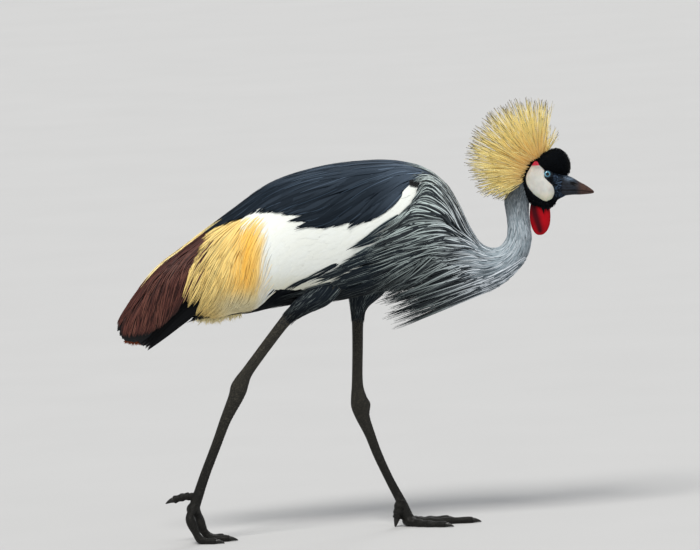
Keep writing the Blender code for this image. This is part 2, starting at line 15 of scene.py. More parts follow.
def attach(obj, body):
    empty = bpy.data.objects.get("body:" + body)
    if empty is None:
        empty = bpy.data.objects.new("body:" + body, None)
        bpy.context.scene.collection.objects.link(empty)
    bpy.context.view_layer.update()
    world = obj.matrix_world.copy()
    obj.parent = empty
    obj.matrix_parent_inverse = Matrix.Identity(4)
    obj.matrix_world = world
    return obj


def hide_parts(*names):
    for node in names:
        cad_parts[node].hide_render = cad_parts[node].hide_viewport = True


bl_info = {
    "name": "Grey crowned crane",
    "version": (1, 0, 0),
    "blender": (4, 5, 0),
    "location": "View3D > Sidebar > Crane",
    "description": "Builds a feathered grey crowned crane around its packed frame",
    "category": "Add Mesh",
}

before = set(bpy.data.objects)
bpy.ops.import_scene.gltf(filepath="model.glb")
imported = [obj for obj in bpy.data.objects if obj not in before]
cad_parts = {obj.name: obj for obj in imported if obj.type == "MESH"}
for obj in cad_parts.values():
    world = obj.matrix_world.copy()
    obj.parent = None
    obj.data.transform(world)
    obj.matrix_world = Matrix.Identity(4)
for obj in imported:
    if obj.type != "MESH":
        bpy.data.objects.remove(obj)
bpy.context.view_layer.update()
SIDES = {"right": -1, "left": 1}
MM = 0.001

# Outlines and lie are measured from 5.5 degrees above, where a point stands lower by this share of its
# distance from the middle plane
ELEVATION = math.radians(5.5)
LOWERED = math.tan(ELEVATION)

# How the photograph shows the bird: metres to a picture element, the picture's middle in picture elements
# and on the bird, and its roll
PICTURE_STEP = 1.75 * MM
PICTURE_MIDDLE = (350, 275)
MIDDLE_ON_BIRD = (-0.01085, 0.4523)
ROLL = math.radians(3.0)


def on_bird(picture_points):
    """Side-view places, x and z to a tenth of a millimetre, of points picked in the photograph."""
    level, tilt = math.cos(ROLL), math.sin(ROLL)
    places = []
    for across, down in picture_points:
        right, up = across - PICTURE_MIDDLE[0], PICTURE_MIDDLE[1] - down
        x = PICTURE_STEP * (level * right + tilt * up) + MIDDLE_ON_BIRD[0]
        z = PICTURE_STEP * (level * up - tilt * right) / math.cos(ELEVATION) + MIDDLE_ON_BIRD[1]
        places.append((round(x, 4), round(z, 4)))
    return places


# Measured slices of the bird

# Body and neck, tail first: top x, top z, bottom x, bottom z, share of the half width
BODY_SLICES = [
    (-0.4215, 0.3900, -0.3830, 0.3420, 0.28),
    (-0.4110, 0.4080, -0.3690, 0.3380, 0.35),
    (-0.3907, 0.4362, -0.3420, 0.3485, 0.44),
    (-0.3469, 0.4841, -0.3010, 0.3800, 0.56),
    (-0.2887, 0.5247, -0.2450, 0.3890, 0.69),
    (-0.2187, 0.5729, -0.1900, 0.3930, 0.80),
    (-0.1390, 0.6226, -0.1200, 0.4030, 0.94),
    (-0.0472, 0.6465, -0.0400, 0.4080, 1.00),
    (0.0340, 0.6520, 0.0240, 0.4190, 1.00),
    (0.0870, 0.6478, 0.0640, 0.4380, 0.97),
    (0.1290, 0.6330, 0.0980, 0.4500, 0.89),
    (0.1640, 0.6040, 0.1230, 0.4520, 0.75),
    (0.1870, 0.5640, 0.1480, 0.4360, 0.61),
    (0.2040, 0.5240, 0.1760, 0.4190, 0.49),
    (0.2200, 0.4970, 0.2110, 0.4080, 0.39),
    (0.2390, 0.4870, 0.2500, 0.4200, 0.315),
    (0.2543, 0.4894, 0.2800, 0.4430, 0.275),
    (0.2651, 0.5017, 0.3005, 0.4680, 0.255),
    (0.2686, 0.5190, 0.3095, 0.4960, 0.245),
    (0.2682, 0.5378, 0.3088, 0.5200, 0.230),
    (0.2660, 0.5560, 0.3076, 0.5430, 0.222),
    (0.2655, 0.5700, 0.3085, 0.5600, 0.220),
    (0.2735, 0.5870, 0.3120, 0.5760, 0.215),
    (0.2880, 0.6050, 0.3180, 0.5940, 0.190),
]
BODY_HALF_WIDTH = 0.086
HEAD_SLICES = [
    (0.2925, 0.6050, 0.2945, 0.5850, 0.45),
    (0.3000, 0.6210, 0.3015, 0.5700, 0.78),
    (0.3120, 0.6310, 0.3125, 0.5615, 0.95),
    (0.3250, 0.6350, 0.3250, 0.5565, 1.00),
    (0.3385, 0.6340, 0.3370, 0.5520, 0.97),
    (0.3500, 0.6280, 0.3485, 0.5560, 0.86),
    (0.3610, 0.6180, 0.3590, 0.5665, 0.70),
    (0.3710, 0.6110, 0.3680, 0.5708, 0.57),
    (0.3790, 0.6070, 0.3760, 0.5722, 0.50),
]
BILL_SLICES = [
    (0.3640, 0.6130, 0.3610, 0.5690, 0.60),
    (0.3710, 0.6105, 0.3680, 0.5710, 0.56),
    (0.3790, 0.6068, 0.3760, 0.5722, 0.50),
    (0.3886, 0.6015, 0.3870, 0.5727, 0.42),
    (0.3990, 0.5945, 0.3975, 0.5722, 0.34),
    (0.4075, 0.5895, 0.4060, 0.5724, 0.26),
    (0.4160, 0.5832, 0.4145, 0.5727, 0.17),
    (0.4210, 0.5790, 0.4200, 0.5733, 0.09),
    (0.4230, 0.5762, 0.4224, 0.5742, 0.03),
]
HEAD_HALF_WIDTH = 0.0215
CAP_SLICES = [
    (0.3060, 0.6310, 0.3070, 0.6230, 0.35),
    (0.3150, 0.6375, 0.3160, 0.6180, 0.70),
    (0.3280, 0.6440, 0.3290, 0.6150, 0.90),
    (0.3400, 0.6505, 0.3410, 0.6130, 1.00),
    (0.3520, 0.6548, 0.3525, 0.6100, 1.04),
    (0.3640, 0.6553, 0.3640, 0.6085, 0.99),
    (0.3740, 0.6495, 0.3735, 0.6070, 0.86),
    (0.3805, 0.6410, 0.3800, 0.6085, 0.66),
    (0.3848, 0.6310, 0.3845, 0.6160, 0.34),
]
CHEEK_OUTLINE = [
    (0.3293, 0.6270), (0.3376, 0.6177), (0.3370, 0.6062), (0.3415, 0.5999), (0.3506, 0.5898),
    (0.3530, 0.5779), (0.3487, 0.5684), (0.3420, 0.5645), (0.3348, 0.5642), (0.3187, 0.5758),
    (0.3079, 0.5901), (0.3047, 0.6019), (0.3072, 0.6135), (0.3156, 0.6268), (0.3209, 0.6334),
    (0.3258, 0.6338),
]
CHEEK_CENTRE = (0.3270, 0.5950)
CHEEK_PROUD = 0.0020
WATTLE_SLICES = [
    (0.3110, 0.5640, 0.3420, 0.5640, 0.0060),
    (0.3088, 0.5540, 0.3438, 0.5540, 0.0070),
    (0.3079, 0.5430, 0.3448, 0.5430, 0.0080),
    (0.3080, 0.5320, 0.3443, 0.5320, 0.0086),
    (0.3102, 0.5215, 0.3422, 0.5210, 0.0084),
    (0.3136, 0.5128, 0.3374, 0.5118, 0.0066),
    (0.3174, 0.5076, 0.3320, 0.5068, 0.0042),
    (0.3210, 0.5054, 0.3272, 0.5050, 0.0014),
]
EYE_PLACE = (0.3418, 0.6128)
EYE_RADIUS = 0.0078
EYE_Y = 0.0133

# Each leg from the body down: x, z, half depth fore and aft, half width
LEG_STATIONS = {
    "right": [
        (-0.0300, 0.4700, 0.0300, 0.0150), (-0.0640, 0.4280, 0.0240, 0.0170),
        (-0.1000, 0.4040, 0.0150, 0.0140), (-0.1255, 0.3840, 0.0104, 0.0090),
        (-0.1600, 0.3440, 0.0096, 0.0073), (-0.1965, 0.2990, 0.0100, 0.0074),
        (-0.2085, 0.2810, 0.0130, 0.0090), (-0.2155, 0.2670, 0.0150, 0.0100),
        (-0.2225, 0.2500, 0.0130, 0.0090), (-0.2412, 0.2140, 0.0097, 0.0068),
        (-0.2592, 0.1720, 0.0086, 0.0062), (-0.2820, 0.1200, 0.0086, 0.0064),
        (-0.2965, 0.0830, 0.0092, 0.0085), (-0.3045, 0.0620, 0.0098, 0.0120),
    ],
    "left": [
        (0.0350, 0.4850, 0.0480, 0.0260), (0.0150, 0.4270, 0.0340, 0.0230), (0.0020, 0.3950, 0.0160, 0.0155),
        (-0.0015, 0.3690, 0.0106, 0.0095), (-0.0042, 0.3200, 0.0095, 0.0074),
        (-0.0078, 0.2600, 0.0098, 0.0074), (-0.0070, 0.2330, 0.0138, 0.0092),
        (-0.0038, 0.2170, 0.0172, 0.0104), (-0.0012, 0.1960, 0.0124, 0.0086),
        (0.0093, 0.1660, 0.0092, 0.0066), (0.0217, 0.1280, 0.0082, 0.0060), (0.0400, 0.0830, 0.0076, 0.0061),
        (0.0590, 0.0420, 0.0086, 0.0080), (0.0690, 0.0150, 0.0098, 0.0120),
    ],
}
HIP_OFFSET = 0.043
FOOT_OFFSET = 0.040
FOOT_PADS = {
    "right": (-0.3060, 0.0590, (0.0122, 0.0157, 0.0122)),
    "left": (0.0725, 0.0093, (0.0147, 0.0162, 0.0097)),
}
TOE_RADIUS = 0.0067

# Each toe from the pad to the claw: x, distance outwards, z, radius as a share of TOE_RADIUS
TOES = {
    "right": {
        "middle": [
            (-0.3030, 0.0000, 0.0560, 1.00), (-0.2965, 0.0005, 0.0400, 1.10), (-0.2900, 0.0010, 0.0200, 1.1),
            (-0.2800, 0.0010, 0.0080, 1.05), (-0.2640, 0.0020, 0.0052, 1.0), (-0.2450, 0.0030, 0.0046, 0.85),
        ],
        "outer": [
            (-0.3090, 0.0105, 0.0570, 1.05), (-0.3130, 0.0180, 0.0470, 1.20), (-0.3060, 0.0210, 0.0260, 1.1),
            (-0.2970, 0.0230, 0.0085, 1.0), (-0.2840, 0.0270, 0.0050, 0.95), (-0.2680, 0.0310, 0.0044, 0.8),
        ],
        "inner": [
            (-0.3010, -0.0110, 0.0560, 0.95), (-0.2970, -0.0170, 0.0440, 1.05),
            (-0.2920, -0.0190, 0.0240, 1.05), (-0.2830, -0.0210, 0.0085, 1.0),
            (-0.2710, -0.0250, 0.0050, 0.95), (-0.2560, -0.0290, 0.0044, 0.8),
        ],
        "hind": [
            (-0.3060, -0.0040, 0.0815, 1.00), (-0.3200, -0.0050, 0.0815, 1.02),
            (-0.3400, -0.0060, 0.0768, 0.95),
        ],
    },
    "left": {
        "middle": [
            (0.0800, 0.0000, 0.0085, 1.35), (0.1000, 0.0000, 0.0062, 1.15), (0.1240, 0.0010, 0.0054, 1.05),
            (0.1500, 0.0010, 0.0052, 1.0), (0.1830, -0.0010, 0.0046, 0.85),
        ],
        "outer": [
            (0.0760, 0.0090, 0.0080, 1.2), (0.0910, 0.0200, 0.0060, 1.1), (0.1110, 0.0310, 0.0052, 1.0),
            (0.1410, 0.0440, 0.0045, 0.8),
        ],
        "inner": [
            (0.0760, -0.0090, 0.0080, 1.2), (0.0900, -0.0200, 0.0060, 1.05), (0.1080, -0.0310, 0.0050, 0.95),
            (0.1350, -0.0430, 0.0044, 0.8),
        ],
        "hind": [
            (0.0572, -0.0030, 0.0480, 1.25), (0.0545, -0.0040, 0.0360, 1.35), (0.0515, -0.0050, 0.0240, 1.25),
            (0.0490, -0.0055, 0.0150, 1.05),
        ],
    },
}

# Outlines of the feather fields in side view
MANTLE_EDGE = [
    (-0.2620, 0.5385), (-0.2157, 0.5560), (-0.1720, 0.5690), (-0.1480, 0.5680),
    *on_bird([
        (283, 216), (306, 216), (285, 222.3), (296, 221.9), (308, 222.8), (293.5, 228.4), (310, 228.2),
        (322.5, 229.3), (335, 227), (350, 222.8), (346, 228.8), (357.5, 225),
    ]),
    (0.0308, 0.5452), (0.0560, 0.5560), (0.0788, 0.5752), (0.1022, 0.6048),
]
GOLD_REAR_EDGE = [
    (-0.2666, 0.5207), (-0.2788, 0.4990), (-0.3001, 0.4663), (-0.3085, 0.4444), (-0.3050, 0.4226)
]
WHITE_FRONT_EDGE = [
    (0.1160, 0.5997), (0.1075, 0.5803), (0.1003, 0.5679), (0.0689, 0.5480),
    *on_bird([
        (383, 226), (374, 234), (362, 242), (348, 250.5), (361, 248), (374, 244), (364, 249), (352, 256),
        (340, 263), (330, 269), (314, 279), (325, 279), (336, 280), (320, 285), (302, 288.5),
    ]),
    (-0.1266, 0.4320), (-0.1530, 0.4333),
]
ZONES = {
    "mantle": MANTLE_EDGE + [(0.1400, 0.6400), (0.1400, 0.7200), (-0.3000, 0.7200), (-0.3000, 0.5500)],
    "white": MANTLE_EDGE[2:] + WHITE_FRONT_EDGE + [(-0.1700, 0.4200), (-0.1950, 0.4600), (-0.2000, 0.5560)],
    "gold": [
        *MANTLE_EDGE[3::-1], *GOLD_REAR_EDGE,
        (-0.2898, 0.3960), (-0.2419, 0.3880), (-0.1757, 0.3970), (-0.1690, 0.4167), (-0.1400, 0.4330),
    ],
    "chestnut": [
        MANTLE_EDGE[0], (-0.2400, 0.5150), (-0.2650, 0.4700), (-0.2850, 0.4226), (-0.3016, 0.4217),
        (-0.3386, 0.3815), (-0.3705, 0.3656), (-0.4080, 0.3625), (-0.4175, 0.3700), (-0.4220, 0.3900),
        (-0.4400, 0.4200), (-0.4400, 0.5600),
    ],
    "rear_tips": [
        (-0.3720, 0.3660), (-0.3740, 0.3560), (-0.4050, 0.3520), (-0.4220, 0.3580), (-0.4270, 0.3900),
        (-0.4150, 0.3860), (-0.4060, 0.3650),
    ],
}

# The white stripe that runs forward and up between mantle and flank
STRIPE = [
    (0.0367, 0.5290), (0.0689, 0.5520), (0.0990, 0.5690), (0.1065, 0.5803), (0.1150, 0.5997),
    (0.1022, 0.6120), (0.0788, 0.5752), (0.0560, 0.5560), (0.0300, 0.5470),
]

# Notches of the white between the long tips of mantle and flank
MANTLE_NOTCHES = [
    on_bird([(275, 215.2), (283, 216), (306, 216), (285, 222.3), (275, 221)]),
    on_bird([(285, 222.6), (296, 222.1), (308, 222.9), (293.5, 228.2), (288, 227)]),
    on_bird([(335, 227.3), (350, 223), (346, 228.8), (340, 229)]),
]
FLANK_NOTCHES = [
    on_bird([(346, 251.5), (361, 248), (374, 244), (364, 249), (352, 256), (344, 259)]),
    on_bird([(311, 280), (325, 279), (336, 280), (320, 285), (302, 288.5)]),
]

# Long tips that stand out over the white
MANTLE_TIPS = on_bird([
    (285, 222.3), (288, 221.4), (292, 220.3), (293.5, 228.4), (297, 227.2), (301, 226), (346, 228.8),
    (348, 227.3), (256, 212), (262, 211.5), (269, 212.5),
])
FLANK_TIPS = on_bird([
    (348, 250.5), (350, 249), (353, 247.5), (355.5, 244.5), (359, 242.5), (364, 239), (370, 234), (314, 279),
    (317, 277.3), (322, 274), (327, 270.5), (335, 265.3), (341, 260.8), (302, 288.5), (306, 286.5),
    (297, 289.5),
])

# Lie of the feathers in side view: x, z and the way they point, in degrees from +X over +Z
LIE = [
    (0.100, 0.625, 205), (0.092, 0.600, 224), (0.078, 0.588, 222), (0.108, 0.600, 234), (0.040, 0.640, 196),
    (0.030, 0.575, 222), (-0.030, 0.560, 210), (-0.050, 0.640, 192), (-0.120, 0.580, 202),
    (-0.140, 0.620, 206), (-0.220, 0.570, 205), (-0.190, 0.572, 200), (0.090, 0.575, 226),
    (0.030, 0.530, 212), (-0.050, 0.490, 206), (-0.110, 0.510, 214), (-0.140, 0.450, 232),
    (-0.160, 0.530, 248), (-0.190, 0.540, 250), (-0.200, 0.480, 256), (-0.235, 0.520, 240),
    (-0.255, 0.470, 243), (-0.275, 0.420, 243), (-0.220, 0.420, 250), (-0.180, 0.430, 258),
    (-0.170, 0.480, 262), (-0.250, 0.550, 206), (-0.093, 0.553, 191), (-0.062, 0.545, 194),
    (-0.285, 0.526, 216), (-0.347, 0.482, 224), (-0.391, 0.434, 234), (-0.414, 0.398, 243),
    (-0.275, 0.505, 232), (-0.300, 0.475, 250), (-0.330, 0.445, 256), (-0.360, 0.415, 258),
    (-0.388, 0.385, 252), (-0.310, 0.430, 250), (-0.345, 0.395, 256), (-0.370, 0.370, 250),
    (-0.400, 0.370, 248), (-0.200, 0.395, 186), (-0.100, 0.410, 184), (0.000, 0.415, 192),
    (0.020, 0.460, 194), (0.090, 0.500, 188), (0.090, 0.455, 203), (0.150, 0.500, 180), (-0.060, 0.440, 196),
    (0.130, 0.560, 165), (0.147, 0.453, 192), (0.165, 0.500, 163), (0.186, 0.539, 124), (0.160, 0.475, 178),
    (0.182, 0.444, 207), (0.160, 0.585, 132), (0.205, 0.425, 206), (0.200, 0.470, 176),
]

# Colours


def srgb(text):
    """An sRGB hex colour as linear red, green and blue."""
    values = np.array([int(text[i : i + 2], 16) for i in (0, 2, 4)]) / 255
    return tuple(np.where(values <= 0.04045, values / 12.92, ((values + 0.055) / 1.055) ** 2.4))


PALETTE = {
    "slate": ("Slate of the mantle", "08121b"),
    # slate_pale also colours the painted sheen on the mantle and the painted highlight on the bill
    "slate_pale": ("Pale edge of slate feathers", "6f8094"),
    "slate_deep": ("Belly and shadow of slate feathers", "0c1118"),
    "neck": ("Neck grey", "a4b2bb"),
    "neck_pale": ("Pale streaks on the neck", "d6dde4"),
    "neck_dark": ("Dark streaks on the neck", "56646c"),
    "plume_pale": ("Pale ridge of breast plumes", "c3d2d0"),
    # plume_dark is partly the plumes' own dark edges, partly painted shade between them
    "plume_dark": ("Dark edge of breast plumes", "1a232b"),
    "white": ("Wing coverts", "e6eae7"),
    "cream": ("Shade in the white", "dcd9bd"),
    "gold": ("Deep gold of the wing plumes", "ffc554"),
    "straw": ("Straw tips of the wing plumes", "ffe698"),
    "chestnut": ("Inner flight feathers", "5a2f28"),
    "chestnut_pale": ("Pale strands of chestnut", "93604f"),
    "chestnut_dark": ("Shadow of chestnut", "1f0e0c"),
    "black": ("Flight feathers and tail", "030407"),
    "rust": ("Fringe under the wing tip", "a04e26"),
    "velvet": ("Cap and throat", "030304"),
    "face": ("Lores, lids and chin", "26313f"),
    "crest_gold": ("Crest near its root", "ffdc94"),
    "crest_straw": ("Crest near its tips", "fff0a4"),
    "crest_brown": ("Dark bands of the bristles", "a07238"),
    "cheek": ("Bare cheek", "cdccc6"),
    "cheek_spot": ("Red spot above the cheek", "cc1f44"),
    "wattle": ("Wattle", "ac0615"),
    # Painted shade in the wattle's fold
    "wattle_dark": ("Fold of the wattle", "42040f"),
    "bill": ("Bill", "161b23"),
    "bill_tip": ("Bill tip", "453129"),
    "leg": ("Legs", "1d1c18"),
    "leg_pale": ("Edges of leg scales", "3f3c33"),
    "iris": ("Iris", "5f9cb4"),
}


class CraneColours(bpy.types.PropertyGroup):
    """The bird's colours, linear."""

    __annotations__ = {
        key: bpy.props.FloatVectorProperty(
            name=words, description=f"{words}, as linear colour", subtype="COLOR", size=3, min=0, max=1,
            default=srgb(code)
        )
        for key, (words, code) in PALETTE.items()
    }


class CraneSizes(bpy.types.PropertyGroup):
    """Sizes and amounts of coat and crest."""

    coat_depth: bpy.props.FloatProperty(
        name="Coat depth", description="From the skin to the coat's surface on the body", default=0.010,
        unit="LENGTH"
    )
    neck_coat_depth: bpy.props.FloatProperty(
        name="Neck coat depth", description="From the skin to the coat's surface on the neck", default=0.0035,
        unit="LENGTH"
    )
    density: bpy.props.FloatProperty(
        name="Density", description="How closely feathers stand, 1 as on the bird", default=1.0, min=0.3,
        max=1.5
    )
    crest_reach: bpy.props.FloatProperty(
        name="Crest reach", description="Length of the longest crest bristles", default=0.116, unit="LENGTH"
    )
    crest_half_width: bpy.props.FloatProperty(
        name="Crest half width", description="How far the crest fans to each side", default=0.090,
        unit="LENGTH"
    )
    crest_bristles: bpy.props.IntProperty(
        name="Bristles", description="Number of crest bristles", default=1200, min=100
    )


def colour(key):
    return np.array(getattr(bpy.context.scene.crane_colours, key))


def mixed(first, second, share):
    """Between two colours by a share, whose shape the result takes with a last axis of three."""
    share = np.asarray(share, float)[..., None]
    first = colour(first) if isinstance(first, str) else first
    second = colour(second) if isinstance(second, str) else second
    return first * (1 - share) + second * share


# Forms


def smooth_rows(rows, steps):
    """Rows on a Catmull-Rom curve through the given ones, with this many rows to a span."""
    rows = np.asarray(rows, float)
    padded = np.vstack([2 * rows[0] - rows[1], rows, 2 * rows[-1] - rows[-2]])
    t = np.arange(steps)[:, None] / steps
    spans = []
    for a, b, c, d in zip(padded, padded[1:], padded[2:], padded[3:]):
        curved, twisted = 2 * a - 5 * b + 4 * c - d, 3 * b - a - 3 * c + d
        spans.append(0.5 * (2 * b + (c - a) * t + curved * t**2 + twisted * t**3))
    return np.vstack([*spans, rows[-1:]])


def unit(vectors):
    return vectors / np.maximum(np.linalg.norm(vectors, axis=-1, keepdims=True), 1e-12)


def smoothstep(low, high, value):
    t = np.clip((value - low) / (high - low), 0, 1)
    return t * t * (3 - 2 * t)


def ramp(value, places, levels):
    return np.interp(value, places, levels)


def turns(count):
    """Angles once round."""
    return np.linspace(0, 2 * math.pi, count, endpoint=False)


def rings(levels, count):
    """A grid of levels by angles once round."""
    return np.meshgrid(levels, turns(count), indexing="ij")


def run_of(points):
    """How far along a path each of its points lies."""
    return np.concatenate([[0], np.cumsum(np.linalg.norm(np.diff(points, axis=0), axis=1))])


def seen(points):
    """Places of points in the side view, as outlines and lie have them."""
    return np.stack([points[..., 0], points[..., 2] - LOWERED * np.abs(points[..., 1])], axis=-1)


def moved(step, along, around):
    """Changes of s and a for a step in the tangent plane, where step = ds * along + da * around."""
    aa, ab, bb = (np.sum(x * y, axis=-1) for x, y in ((along, along), (along, around), (around, around)))
    wa, wb = np.sum(step * along, axis=-1), np.sum(step * around, axis=-1)
    det = np.maximum(aa * bb - ab * ab, 1e-14)
    return (bb * wa - ab * wb) / det, (aa * wb - ab * wa) / det


class Form:
    """A lofted form: the point at (s, a) is centre + up or down times cos a + side times sin a.

    s counts slices, a is the angle from the top towards +Y. Between slices centre, up, down and side run
    on Catmull-Rom curves, and past both ends they run straight on. window is the part of the unwrap that
    the form fills.
    """

    STEPS = 8

    def __init__(self, rows, window=(0.02, 0.02, 0.98, 0.55)):
        self.rows = smooth_rows(rows, self.STEPS)
        self.last = len(rows) - 1
        self.window = window

    @classmethod
    def from_slices(cls, slices, half_width, widest=0.5, **kept):
        table = np.array(slices, float)
        zero = np.zeros(len(table))
        top = np.stack([table[:, 0], zero, table[:, 1]], axis=1)
        low = np.stack([table[:, 2], zero, table[:, 3]], axis=1)
        centre = low + (top - low) * widest
        side = np.stack([zero, half_width * table[:, 4], zero], axis=1)
        return cls(np.hstack([centre, top - centre, low - centre, side]), **kept)

    @classmethod
    def along(cls, path, depths, widths, side, **kept):
        """Sections square to a path: depth in the plane of path and up, width along the side direction."""
        path, across = np.asarray(path, float), unit(np.asarray(side, float))
        up = unit(np.cross(across, unit(np.gradient(path, axis=0))))
        depths, widths = np.asarray(depths)[:, None], np.asarray(widths)[:, None]
        return cls(np.hstack([path, -up * depths, up * depths, across * widths]), **kept)

    def slimmed(self, depth):
        """The same form with its surface this much further in; depth may be an array along s."""
        slim = Form.__new__(Form)
        slim.rows, slim.last, slim.window = self.rows.copy(), self.last, self.window
        for start in (3, 6, 9):
            vector = slim.rows[:, start : start + 3]
            length = np.linalg.norm(vector, axis=1)
            vector *= np.maximum(1 - depth / length, 0.05)[:, None]
        return slim

    def section(self, s):
        place = np.asarray(s, float) * self.STEPS
        i = np.clip(np.floor(place).astype(int), 0, len(self.rows) - 2)
        f = (place - i)[..., None]
        row = self.rows[i] * (1 - f) + self.rows[i + 1] * f
        return row[..., 0:3], row[..., 3:6], row[..., 6:9], row[..., 9:12]

    def point(self, s, a):
        centre, up, down, side = self.section(s)
        lift, across = np.cos(a)[..., None], np.sin(a)[..., None]
        return centre + np.where(lift > 0, up * lift, -down * lift) + side * across

    def axes(self, s, a):
        """Point, outward normal and the two tangents, by central differences."""
        h, k = 0.08, 0.03
        along = (self.point(s + h, a) - self.point(s - h, a)) / (2 * h)
        around = (self.point(s, a + k) - self.point(s, a - k)) / (2 * k)
        place = self.point(s, a)
        normal = unit(np.cross(along, around))
        outward = place - self.section(s)[0]
        normal *= np.sign(np.sum(normal * outward, axis=-1, keepdims=True) + 1e-12)
        return place, normal, along, around

    def trail(self, s, a, heading, length, knots, turn=0.0, curl=0.0):
        """Paths of the given lengths that start at (s, a), keep to the form and follow a heading.

        turn bends each path's heading by an angle, which curl adds to on the way. Gives points and normals,
        each roots by knots by 3.
        """
        s, a = np.array(s, float), np.array(a, float)
        step = length / (knots - 1)
        points, normals = [], []
        for knot in range(knots):
            bent = turn + curl * knot / (knots - 1)
            place, normal, along, around = self.axes(s, a)
            points.append(place)
            normals.append(normal)
            wanted = heading(place, s, along)
            wanted = unit(wanted - normal * np.sum(wanted * normal, axis=-1, keepdims=True))
            cos, sin = np.cos(bent), np.sin(bent)
            wanted = wanted * np.expand_dims(cos, -1) + np.cross(normal, wanted) * np.expand_dims(sin, -1)
            ds, da = moved(wanted, along, around)
            s, a = s + ds * step, a + da * step
        return np.stack(points, axis=1), np.stack(normals, axis=1)

    def leave(self, s, a, tips, t, lift):
        """Paths from (s, a) towards free tips: along the form while the way leads into it, then straight.

        In the end each path is smoothed by the weights 1, 2, 1. Gives points and normals.
        """
        s, a = np.array(s, float), np.array(a, float)
        place, normal, _, _ = self.axes(s, a)
        here = place + normal * lift
        free = np.zeros(len(s), bool)
        points, normals = [here], [normal]
        for now, following in zip(t, t[1:]):
            share = (following - now) / (1 - now)
            step = (tips - here) * share
            free |= np.sum(unit(step) * normal, axis=-1) > 0.06
            place, surface, along, around = self.axes(s, a)
            flat = step - surface * np.sum(step * surface, axis=-1, keepdims=True)
            ds, da = moved(flat, along, around)
            s, a = np.where(free, s, s + ds), np.where(free, a, a + da)
            place, surface, _, _ = self.axes(s, a)
            here = np.where(free[:, None], here + step, place + surface * lift)
            normal = np.where(free[:, None], normal, surface)
            points.append(here)
            normals.append(normal)
        points = np.stack(points, axis=1)
        for _ in range(3):
            points[:, 1:-1] = (points[:, :-2] + 2 * points[:, 1:-1] + points[:, 2:]) / 4
        return points, np.stack(normals, axis=1)

    def roots(self, first, last, row_gap, column_gap, random, jitter=0.35):
        """Staggered rows of roots from slice first to last. The gaps are in metres, as functions of s."""
        fine = np.linspace(0, 2 * math.pi, 97)
        levels = np.linspace(first, last, 200)
        mean = self.section(levels)[0]
        gaps = row_gap((levels[1:] + levels[:-1]) / 2)
        travelled = np.concatenate([[0], np.cumsum(np.linalg.norm(np.diff(mean, axis=0), axis=1) / gaps)])
        rows = np.interp(np.arange(0, travelled[-1], 1.0), travelled, levels)
        all_s, all_a = [], []
        for count, level in enumerate(rows):
            ring = self.point(np.full(fine.shape, level), fine)
            arc = run_of(ring)
            number = max(3, int(arc[-1] / column_gap(level)))
            place = (np.arange(number) + 0.5 * (count % 2) + random.uniform(-jitter, jitter, number)) / number
            all_a.append(np.interp((place % 1.0) * arc[-1], arc, fine))
            gap = row_gap(level) * (last - first) / max(np.linalg.norm(mean[-1] - mean[0]), 1e-6)
            all_s.append(level + random.uniform(-jitter, jitter, number) * gap)
        return np.concatenate(all_s), np.concatenate(all_a)

    def patch(self, s, a):
        """Where roots lie on the unwrap of the form: angle across, slices up."""
        left, low, right, high = self.window
        across = (a / (2 * math.pi)) % 1.0
        up = np.clip(s / self.last, 0, 1)
        return np.stack([left + (right - left) * across, low + (high - low) * up], axis=-1)

    def side_y(self, x, z):
        """How far from the middle plane the side lies at places (x, z) of the side view; 0 off the form."""
        centre, up, down, side = (self.rows[:, i : i + 3] for i in (0, 3, 6, 9))
        top, low = centre + up, centre + down
        height = (z[:, None] - low[None, :, 2]) / (top - low)[None, :, 2]
        off = low[None, :, 0] + (top - low)[None, :, 0] * height - x[:, None]
        nearest = np.argmin(np.abs(off), axis=1)
        middle = centre[nearest, 2]
        reach = np.where(z > middle, up[nearest, 2], -down[nearest, 2])
        return side[nearest, 1] * np.sqrt(np.clip(1 - ((z - middle) / reach) ** 2, 0, 1))


def side_lie(place):
    """The lie of the feathers at a point: the directions of LIE, each weighted by 1 / distance cubed."""
    table = np.array(LIE)
    angle = np.radians(table[:, 2])
    off = seen(place)[..., None, :] - table[:, :2]
    weight = 1 / (np.sum(off**2, axis=-1) + 0.008**2) ** 1.5
    weight /= weight.sum(axis=-1, keepdims=True)
    x, z = (weight * np.cos(angle)).sum(axis=-1), (weight * np.sin(angle)).sum(axis=-1)
    return np.stack([x, np.zeros_like(x), z], axis=-1)


def body_lie(place, s, along):
    """Heading on body and neck: the side view's lie behind slice 13, down the neck before slice 15.5."""
    share = smoothstep(13.0, 15.5, s)[..., None]
    return unit(unit(side_lie(place)) * (1 - share) - unit(along) * share)


def forwards(place, s, along):
    return unit(along)


def backwards(place, s, along):
    return -unit(along)


def back_and_down(drop):
    """A heading back along a form that drops by this share."""
    return lambda place, s, along: unit(-unit(along) + np.array([0, 0, -drop]))


def inside(outline, points):
    """Whether points lie inside an outline of the side view, by counting crossings."""
    x, z = np.moveaxis(seen(points), -1, 0)
    found = np.zeros(x.shape, bool)
    for (x1, z1), (x2, z2) in zip(outline, outline[1:] + outline[:1]):
        if z1 != z2:
            found ^= ((z1 > z) != (z2 > z)) & (x < (x2 - x1) * (z - z1) / (z2 - z1) + x1)
    return found


# Vanes and meshes

# Rims of vanes are sharper than this, their ridges are not
SHARP = math.radians(80)

# Cross-sections of a vane: place across, height over the edge
RIDGED = np.array([(-1.0, 0.0), (0.0, 1.0), (1.0, 0.0)])
BROAD = np.array([(-1.0, 0.0), (-0.5, 0.75), (0.0, 1.0), (0.5, 0.75), (1.0, 0.0), (0.0, 0.3)])


def pointed(t):
    return ramp(t, [0, 0.15, 0.4, 0.7, 0.88, 1], [0.4, 0.8, 1, 0.75, 0.4, 0.04])


def rounded(t):
    return ramp(t, [0, 0.2, 0.55, 0.82, 0.94, 1], [0.45, 0.8, 1, 0.9, 0.6, 0.1])


def tapering(t):
    return ramp(t, [0, 0.15, 0.4, 0.65, 0.85, 1], [0.4, 0.85, 1, 0.6, 0.22, 0.03])


